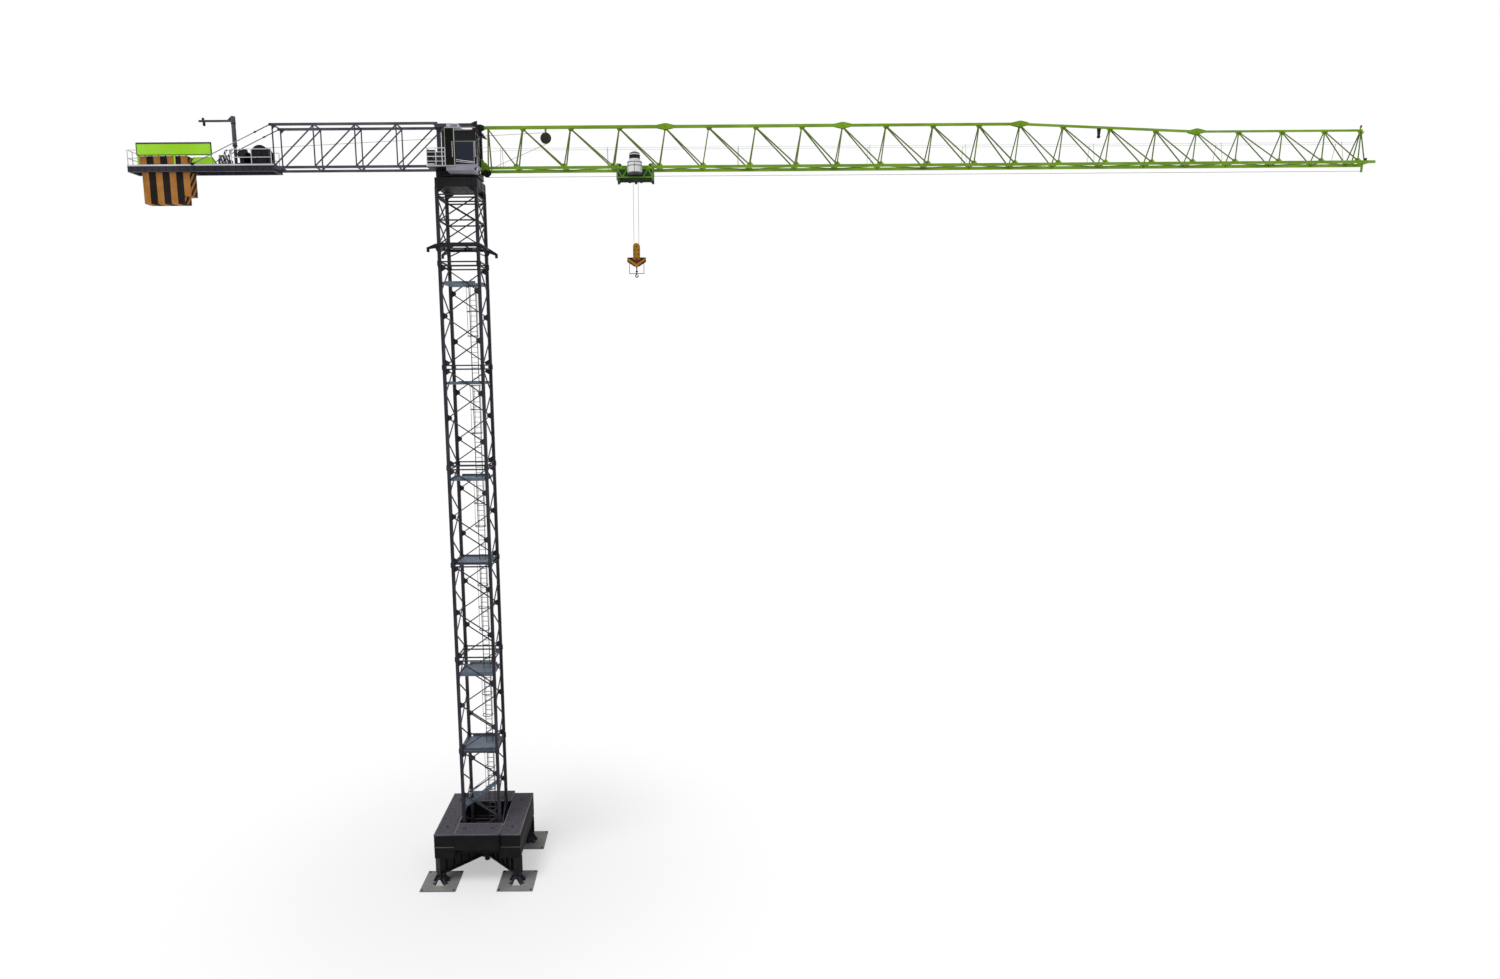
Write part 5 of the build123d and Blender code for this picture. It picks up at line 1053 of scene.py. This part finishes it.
level_rope = wire_rope("level_rope", (1.0, 0.0, 1.6))
upright_rope = wire_rope("upright_rope", (1.6, 0.0, 1.0))
dress(level_rope, "hoist_rope")
winch_black = painted_steel("winch_black", (18, 19, 24), (30, 32, 38), (84, 84, 92))
dress(winch_black, "hoist_winch")
drum_x, drum_level, drum_half = -5.58, 21.5235, 0.14
motor_x, motor_level, motor_half, motor_radius = -6.07, 21.5095, 0.21, 0.12
rope_radius = 0.005


def wound_tree():
    """Geometry Nodes for rope wound on a drum: a helix with a round section, laid on its side."""
    tree, given = new_tree(
        "wound_rope", "GeometryNodeTree",
        [("NodeSocketGeometry", "Carrier", None), ("NodeSocketFloat", "Turns", 10.0),
         ("NodeSocketFloat", "Coil Radius", 0.2), ("NodeSocketFloat", "Coil Length", 0.3),
         ("NodeSocketFloat", "Rope Radius", 0.005), ("NodeSocketVector", "Place", (0, 0, 0)),
         ("NodeSocketMaterial", "Finish", None)],
        [("NodeSocketGeometry", "Mesh")])
    helix = add_node(tree, "GeometryNodeCurveSpiral", {
        "Resolution": 24, "Rotations": given["Turns"], "Start Radius": given["Coil Radius"],
        "End Radius": given["Coil Radius"], "Height": given["Coil Length"]})
    section = add_node(tree, "GeometryNodeCurvePrimitiveCircle", {
        "Resolution": 6, "Radius": given["Rope Radius"]})
    rope = add_node(tree, "GeometryNodeCurveToMesh", {
        "Curve": helix.outputs["Curve"], "Profile Curve": section.outputs["Curve"], "Fill Caps": True})
    laid = add_node(tree, "GeometryNodeTransform", {
        "Geometry": rope.outputs["Mesh"], "Rotation": (math.pi / 2, 0, 0), "Translation": given["Place"]})
    end_tree(tree, given, laid.outputs["Geometry"])
    return tree


wound_mesh = evaluated_mesh("drum_rope", bpy.data.meshes.new("drum_rope_carrier"), wound_tree(), {
    "Turns": 25.0, "Coil Radius": 0.1952, "Coil Length": 0.266, "Rope Radius": rope_radius,
    "Place": (drum_x, 0.133, drum_level), "Finish": upright_rope})
put_in_scene("drum_rope", wound_mesh, "upper_works")
rayed_bars = repeat_tree("rayed_bars", flat_bar, "Z", size_input)
motor_ribs = []
rib_circle = motor_radius + 0.004
for cosine, sine in round_turn(28):
    if sine > -0.75:
        spot = (motor_x + rib_circle * cosine, 0.0, motor_level + rib_circle * sine)
        motor_ribs.append((spot, (cosine, 0.0, sine)))
repeat_on("winch_motor_ribs", rayed_bars, motor_ribs, "upper_works", "winch_black", winch_black,
          size=(0.005, 0.32, 0.022))
work = bmesh.new()
gear_near, gear_far = 0.196, 0.245
outline = [(-6.17, 21.30), (-5.36, 21.30), (-5.36, 21.62), (-5.50, 21.70), (-5.68, 21.69), (-5.96, 21.62),
           (-6.13, 21.60), (-6.17, 21.55)]
stand_plate(work, outline, (0, (gear_near + gear_far) / 2, 0), gear_far - gear_near)
brake_profile = [(0.0005, 0.0), (0.10, 0.0), (0.105, 0.03), (0.0005, 0.034)]
add_turned(work, brake_profile, (motor_x, -motor_half - 0.034, motor_level), 32, "Y")
motor_top = motor_level + motor_radius
add_block(work, (motor_x - 0.05, -0.08, motor_top), (motor_x + 0.05, 0.08, motor_top + 0.06))
add_rod(work, (drum_x, -0.20, drum_level), (drum_x, -0.19, drum_level), 0.05, 24)
for x in (-5.82, -5.34):
    stand_plate(work, oblong(x - 0.012, 21.27, x + 0.012, 21.40), (0, 0, 0), 0.32)
finish_piece("winch_gearbox_and_brake", work, "upper_works", winch_black, 0.003)
winch_bolts = []
cheek_circle = 0.225
for cosine, sine in round_turn(12):
    for side in sides_of_centre:
        spot = (drum_x + cheek_circle * cosine, side * (drum_half + 0.024), drum_level + cheek_circle * sine)
        winch_bolts.append((spot, (0, side, 0)))
for x in (-6.15, -5.9, -5.65, -5.4):
    for y in (-0.232, 0.232):
        winch_bolts.append(((x, y, 21.2695), upward))
repeat_on("winch_bolts", bolt_tree, winch_bolts, "upper_works", "winch_black", bolt_steel,
          head_radius=0.007, head_height=0.002, washer_radius=0.010, washer_height=0.001)
stripe_white = painted_steel("stripe_white", (206, 206, 210), (220, 220, 222), (190, 190, 192))
guard_stripes = stripe_mask(stripe_white, (0, 0, 0), (0.94, 0, 0.34), 0.08)
two_tone(stripe_white, guard_stripes, (16, 16, 20), (26, 26, 30))
work = bmesh.new()
for shift in (0.0, 0.15):
    bar = [(-6.73, deck_top), (-6.66, deck_top), (-6.46, 21.64), (-6.53, 21.64)]
    stand_plate(work, [(x + shift, level) for x, level in bar], (0, -0.205, 0), 0.014)
for level in (21.30, 21.46, 21.62):
    x = -6.70 + (level - deck_top) * 0.465
    add_block(work, (x, -0.212, level - 0.012), (x + 0.18, -0.198, level + 0.012))
finish_piece("winch_guard", work, "upper_works", stripe_white, 0.001)
work = bmesh.new()
add_block(work, (-6.755, -0.135, 21.4095), (-6.56, 0.135, 21.505))
add_block(work, (-6.762, -0.142, 21.505), (-6.553, 0.142, 21.515))
finish_piece("resistor_box", work, "upper_works", roof_pale, 0.003)
slots = [((-6.6575, -0.137, 21.425 + 0.014 * number), (1, 0, 0)) for number in range(6)]
slots += [((-6.63, -0.152, 21.25 + 0.02 * number), (1, 0, 0)) for number in range(7)]
repeat_on("switch_cabinet_vents", upright_bars, slots, "upper_works", "panel_black", seal_black,
          size=(0.15, 0.006, 0.007))


# The davit swings over the winch for its repair. Step pegs stand out of its lower post, and a
# small lifting pulley hangs in a fork near the end of its arm.
def add_pulley(work, centre, rim, half_width, groove, half_groove):
    """A grooved wheel on a level axis, with a hole for its pin."""
    profile = [(0.006, -half_width), (rim, -half_width), (groove, -half_groove),
               (groove, half_groove), (rim, half_width), (0.006, half_width)]
    add_turned(work, profile, centre, 24, "Y")


davit_x = -6.335
work = bmesh.new()
for number in range(8):
    level = 21.28 + 0.06 * number
    add_rod(work, (davit_x, -0.07, level), (davit_x, 0.07, level), 0.008)
for level in (21.775, 22.375):
    add_turned(work, oblong(0.05, 0.0, 0.068, 0.022), (davit_x, 0, level), 28)
finish_piece("davit_pegs", work, "upper_works", lug_dark)
work = bmesh.new()
pulley_x, pulley_level = -7.16, 22.365
for side in sides_of_centre:
    stand_plate(work, [(-0.022, -0.105), (0.022, -0.105), (0.03, 0.0), (-0.03, 0.0)],
                (pulley_x, side * 0.014, 22.436), 0.005)
add_pulley(work, (pulley_x, 0, pulley_level), 0.040, 0.009, 0.032, 0.003)
add_rod(work, (pulley_x, -0.02, pulley_level), (pulley_x, 0.02, pulley_level), 0.007)
stand_plate(work, [(-0.10, 0.0), (0.0, 0.0), (0.0, 0.10)], (davit_x - 0.058, 0, 22.485), 0.012)
finish_piece("davit_pulley", work, "davit", lug_dark)


# The jib is a three-chord lattice of square tubes, welded and painted green, and pinned together
# in five lengths. Small gusset plates stiffen the nodes of its sides.
def jib_top_at(x):
    """The level of the top chord's axis, which falls over the fourth length."""
    share = min(max((x - 15.84) / 5.0, 0.0), 1.0)
    return 22.2245 - 0.24 * share


jib_green = painted_steel("jib_green", (106, 146, 18), (126, 166, 38), (176, 204, 96))
dress(jib_green, "jib_top_chord", "jib_bottom_chords", "jib_tip_frame")
sheave_paint = painted_steel("sheave_paint", (34, 40, 30), (52, 58, 46), (84, 92, 74))
two_tone(sheave_paint, band_mask(sheave_paint, "Z", 22.085, 22.3), (106, 146, 18), (126, 166, 38))
dress(sheave_paint, "jib_root_sheave")
brace_green = painted_steel("brace_green", (80, 102, 28), (98, 122, 42), (140, 160, 80))
dress(brace_green, "jib_side_front", "jib_side_rear", "jib_bottom_lacing")
node_places = [0.84, 1.815, 3.165, 4.54, 5.84, 7.065, 8.39, 9.69, 10.84, 12.065, 13.39, 14.69, 15.84, 17.065,
               18.39, 19.69, 20.84, 22.035, 23.265, 24.465, 25.49]
foot_lean = 0.175
chord_top = 21.1195
chord_y = 0.2375
node_green = painted_steel("node_green", (124, 176, 26), (144, 192, 46), (180, 208, 100))
work = bmesh.new()
for x in node_places[1:]:
    foot = x - foot_lean
    for side in sides_of_centre:
        lean = Vector((0, -side * chord_y, jib_top_at(x) - 21.0845)).normalized()
        add_plate(work, [(-0.10, 0.0), (0.11, 0.0), (0.045, 0.085), (-0.035, 0.085)],
                  (foot, side * (chord_y - 0.006), chord_top - 0.004), (1, 0, 0), lean, 0.009)
    stand_plate(work, [(-0.085, 0.0), (0.11, 0.0), (0.06, -0.085), (-0.04, -0.085)],
                (x, 0, jib_top_at(x) - 0.024), 0.014)
finish_piece("jib_gussets", work, "upper_works", node_green)

# Along the jib two thin steel lifelines run through eyes on slim posts, from the turret's posts to
# the last braces. Rubber buffers at the ends of the rails stop the trolley, and a red lamp marks
# the tip.
lifeline_level = 21.64
lifeline_y = 0.112
lifeline_end = 25.42
post_places = [1.2, 4.2, 7.9, 11.6, 14.3, 17.9, 21.5, 24.9]
work = bmesh.new()
for side in sides_of_centre:
    line_y = side * lifeline_y
    add_line(work, [(0.585, side * 0.30, lifeline_level), (post_places[0], line_y, lifeline_level),
                    (lifeline_end, line_y, lifeline_level)], 0.0035, 6)
    add_rod(work, (lifeline_end, side * 0.085, lifeline_level),
            (lifeline_end, side * 0.119, lifeline_level), 0.008)
    for x in post_places:
        add_rod(work, (x, side * chord_y, chord_top - 0.002), (x, line_y, lifeline_level + 0.01), 0.006, 8)
        add_turned(work, oblong(0.004, -0.008, 0.012, 0.008), (x, line_y, lifeline_level), 12, "Y")
lifeline_steel = painted_steel("lifeline_steel", (150, 152, 150), (172, 172, 170),
                               (180, 180, 178), metal=0.3)
finish_piece("jib_lifelines", work, "upper_works", lifeline_steel)
rubber = painted_steel("rubber", (16, 16, 17), (26, 26, 27), (60, 60, 60), roughness=0.7,
                       rust_amount=0.0)
work = bmesh.new()
buffer_profile = [(0.0005, 0.0), (0.026, 0.0), (0.026, 0.02), (0.021, 0.026), (0.024, 0.034),
                  (0.019, 0.044), (0.0005, 0.048)]
for side in sides_of_centre:
    rail_y = side * chord_y
    add_turned(work, buffer_profile, (25.53, rail_y, 21.15), 20, "X")
    add_block(work, (25.52, rail_y - 0.03, chord_top - 0.004), (25.545, rail_y + 0.03, 21.185))
finish_piece("jib_end_buffers", work, "upper_works", rubber)
lamp_red = painted_steel("lamp_red", (150, 20, 16), (170, 34, 26), (160, 80, 70), roughness=0.1,
                         rust_amount=0.0)
work = bmesh.new()
lamp_profile = [(0.0005, 0.0), (0.030, 0.0), (0.030, 0.012), (0.024, 0.016), (0.024, 0.05),
                (0.016, 0.064), (0.0005, 0.068)]
add_turned(work, lamp_profile, (25.49, 0, 22.062), 24)
finish_piece("tip_lamp", work, "upper_works", lamp_red)
work = bmesh.new()
hanger_x = 18.09
hanger_top = jib_top_at(hanger_x) - 0.02
for side in sides_of_centre:
    stand_plate(work, [(-0.05, 0.0), (0.05, 0.0), (0.02, -0.26), (-0.02, -0.26)],
                (hanger_x, side * 0.022, hanger_top), 0.005)
roller_level = hanger_top - 0.23
add_pulley(work, (hanger_x, 0, roller_level), 0.045, 0.014, 0.036, 0.004)
add_rod(work, (hanger_x, -0.03, roller_level), (hanger_x, 0.03, roller_level), 0.008)
finish_piece("jib_rope_roller", work, "upper_works", lug_dark)


# The trolley is two dark green side frames on four wheels, with bright green ears and diagonal
# straps over its webs. A white cable reel with dark bands stands on a shelf at its near side.
def add_strap(work, start, end, y):
    """A flat strap between two points of an upright side."""
    start, end = Vector((start[0], y, start[1])), Vector((end[0], y, end[1]))
    along = (end - start).normalized()
    outline = oblong(0, -strap_half_width, (end - start).length, strap_half_width)
    add_plate(work, outline, start, along, Vector((0, 1, 0)).cross(along), 0.006)


trolley_x = 4.985
trolley_green = painted_steel("trolley_green", (30, 52, 24), (44, 70, 34), (84, 116, 62))
two_tone(trolley_green, band_mask(trolley_green, "Z", 21.045, 21.4), (112, 168, 36), (132, 186, 58))
dress(trolley_green, "trolley_frame")
wheel_steel = painted_steel("wheel_steel", (50, 52, 50), (74, 74, 72), (96, 96, 92), metal=0.5)
dress(wheel_steel, "trolley_wheels", "trolley_sheaves", "hook_block_sheave")
strap_green = painted_steel("strap_green", (88, 136, 40), (110, 158, 58), (140, 176, 90))
strap_half_width = 0.017
work = bmesh.new()
frame_low, frame_high = 20.795, 21.022
strap_columns = [trolley_x + reach for reach in (-0.50, -0.36, -0.22, 0.22, 0.36, 0.50)]
for side in sides_of_centre:
    y = side * 0.3205
    add_strap(work, (strap_columns[0], frame_high), (strap_columns[-1], frame_high), y)
    add_strap(work, (strap_columns[0], frame_low), (strap_columns[-1], frame_low), y)
    for number, (start, end) in enumerate(zip(strap_columns, strap_columns[1:])):
        if number != 2 or side > 0:
            levels = (frame_low, frame_high) if number % 2 else (frame_high, frame_low)
            add_strap(work, (start, levels[0]), (end, levels[1]), y + side * 0.001 * (1 + number % 2))
    for column in (strap_columns[0], strap_columns[-1]):
        add_strap(work, (column, 20.73), (column, 21.16), y + side * 0.003)
finish_piece("trolley_straps", work, "trolley", strap_green)
hub_places = []
for reach in (-0.43, 0.43):
    for side in sides_of_centre:
        hub_places.append(((trolley_x + reach, side * 0.3185, 21.1148), (0, side, 0)))
repeat_on("trolley_wheel_nuts", bolt_tree, hub_places, "trolley", "trolley_green", bolt_steel,
          head_radius=0.02, head_height=0.012, washer_radius=0.03, washer_height=0.004)
reel_white = painted_steel("reel_white", (216, 216, 218), (232, 232, 234), (226, 226, 228),
                           rust_amount=0.05)
for low, high in ((21.235, 21.335), (21.356, 21.398), (21.125, 21.142), (21.030, 21.047), (20.80, 20.8494)):
    two_tone(reel_white, band_mask(reel_white, "Z", low, high), (22, 22, 26), (34, 34, 38))
dress(reel_white, "trolley_reel_housing")
reel_y = -0.5335
work = bmesh.new()
for level, radius in ((21.1335, 0.205), (21.0385, 0.205), (20.862, 0.205), (21.24, 0.15), (21.32, 0.15)):
    inner, outer = radius - 0.004, radius + 0.004
    add_turned(work, [(inner, -0.008), (outer, -0.005), (outer, 0.005), (inner, 0.008)],
               (trolley_x, reel_y, level), 40)
for cosine, sine in round_turn(6, 0.5):
    spot = Vector((trolley_x + 0.207 * cosine, reel_y + 0.207 * sine, 0))
    add_rod(work, spot + Vector((0, 0, 20.87)), spot + Vector((0, 0, 21.13)), 0.005, 8)
add_line(work, [(trolley_x - 0.05, reel_y, 21.41), (trolley_x - 0.05, reel_y, 21.445),
                (trolley_x + 0.05, reel_y, 21.445), (trolley_x + 0.05, reel_y, 21.41)], 0.006)
finish_piece("reel_bands", work, "trolley", seal_black)

# The hook block is two ochre plates round a sheave, with black and red-brown chevrons on its wide
# lower part and a thin dark guard round the hook below. The hook is forged steel.
ochre_tones = ((150, 102, 18), (170, 120, 34), (192, 150, 80))
block_ochre = painted_steel("block_ochre", *ochre_tones, rust_amount=0.3)
dress(block_ochre, "hook_block_housing")
cheek_top = 18.6245
cheek_paint = painted_steel("cheek_paint", *ochre_tones, rust_amount=0.3)
chevron = stripe_mask(cheek_paint, (trolley_x, 0, cheek_top - 0.03), (0, 0, -1.0), 0.15, (0.72, 0, 0))
middle = band_mask(cheek_paint, "X", trolley_x - 0.13, trolley_x + 0.13)
two_tone(cheek_paint, chevron, (18, 14, 14), (28, 22, 22))
middle_chevron = maths(cheek_paint.node_tree, "MULTIPLY", chevron, middle)
two_tone(cheek_paint, middle_chevron, (72, 22, 20), (88, 34, 30))
two_tone(cheek_paint, band_mask(cheek_paint, "Z", 18.0, 18.374), (40, 36, 42), (58, 54, 60))
dress(cheek_paint, "hook_block_cheeks")
work = bmesh.new()
for side in sides_of_centre:
    face = side * 0.0465
    stand_plate(work, oblong(-0.262, -0.012, 0.262, 0.006), (trolley_x, face, cheek_top), 0.006)
    for level in (18.68, 18.56):
        stand_plate(work, oblong(-0.04, -0.02, 0.04, 0.02), (trolley_x, face + side * 0.002, level), 0.006)
finish_piece("hook_block_straps", work, "hook_block", lug_dark, 0.001)
block_low, block_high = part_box("hook_block_housing")
block_bolts = []
for side, face in ((-1, block_low[1]), (1, block_high[1])):
    block_bolts.append(((trolley_x, face, 18.9345), (0, side, 0)))
    for x in (-0.055, 0.055):
        for level in (18.72, 18.84):
            block_bolts.append(((trolley_x + x, face, level), (0, side, 0)))
repeat_on("hook_block_bolts", bolt_tree, block_bolts, "hook_block", "block_ochre", bolt_steel,
          head_radius=0.013, head_height=0.01, washer_radius=0.019, washer_height=0.003)
hook_steel = painted_steel("hook_steel", (38, 36, 40), (56, 54, 56), (84, 82, 82), metal=0.4,
                           roughness=0.4, rust_amount=0.3)
dress(hook_steel, "hook")
work = bmesh.new()
add_turned(work, [(0.0155, 0.0), (0.032, 0.0), (0.036, 0.008), (0.036, 0.02), (0.030, 0.03), (0.0155, 0.03)],
           (trolley_x, 0, 18.225), 24)
add_turned(work, oblong(0.0155, 0.0, 0.028, 0.012), (trolley_x, 0, 18.345), 24)
finish_piece("hook_collars", work, "hook", hook_steel)

# Two falls of the hoist rope hang from the trolley's sheaves to the hook block. Each is six
# strands laid round a core.
fall_top, fall_foot = 20.7892, 18.9345
fall_reach = 0.07
strand_count = 6
ring_sides = 2 * strand_count
ring_count = 220
lay_length = 0.07
groove_share = 0.84
work = bmesh.new()
for side in sides_of_centre:
    rings = []
    for step in range(ring_count + 1):
        level = fall_top + (fall_foot - fall_top) * step / ring_count
        turn = 2 * math.pi * (fall_top - level) / lay_length
        ring = []
        for corner in range(ring_sides):
            radius = rope_radius if corner % 2 else rope_radius * groove_share
            angle = turn + 2 * math.pi * corner / ring_sides
            ring.append(work.verts.new((trolley_x + side * fall_reach + radius * math.cos(angle),
                                        radius * math.sin(angle), level)))
        rings.append(ring)
    for here, there in zip(rings, rings[1:]):
        for corner in range(ring_sides):
            after = (corner + 1) % ring_sides
            work.faces.new((here[corner], here[after], there[after], there[corner]))
    work.faces.new(rings[0])
    work.faces.new(list(reversed(rings[-1])))
falls = bpy.data.objects.new("rope_falls_stranded", worked_mesh("rope_falls_stranded", work, upright_rope))
bpy.context.scene.collection.objects.link(falls)
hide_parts("rope_falls")
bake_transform(falls)
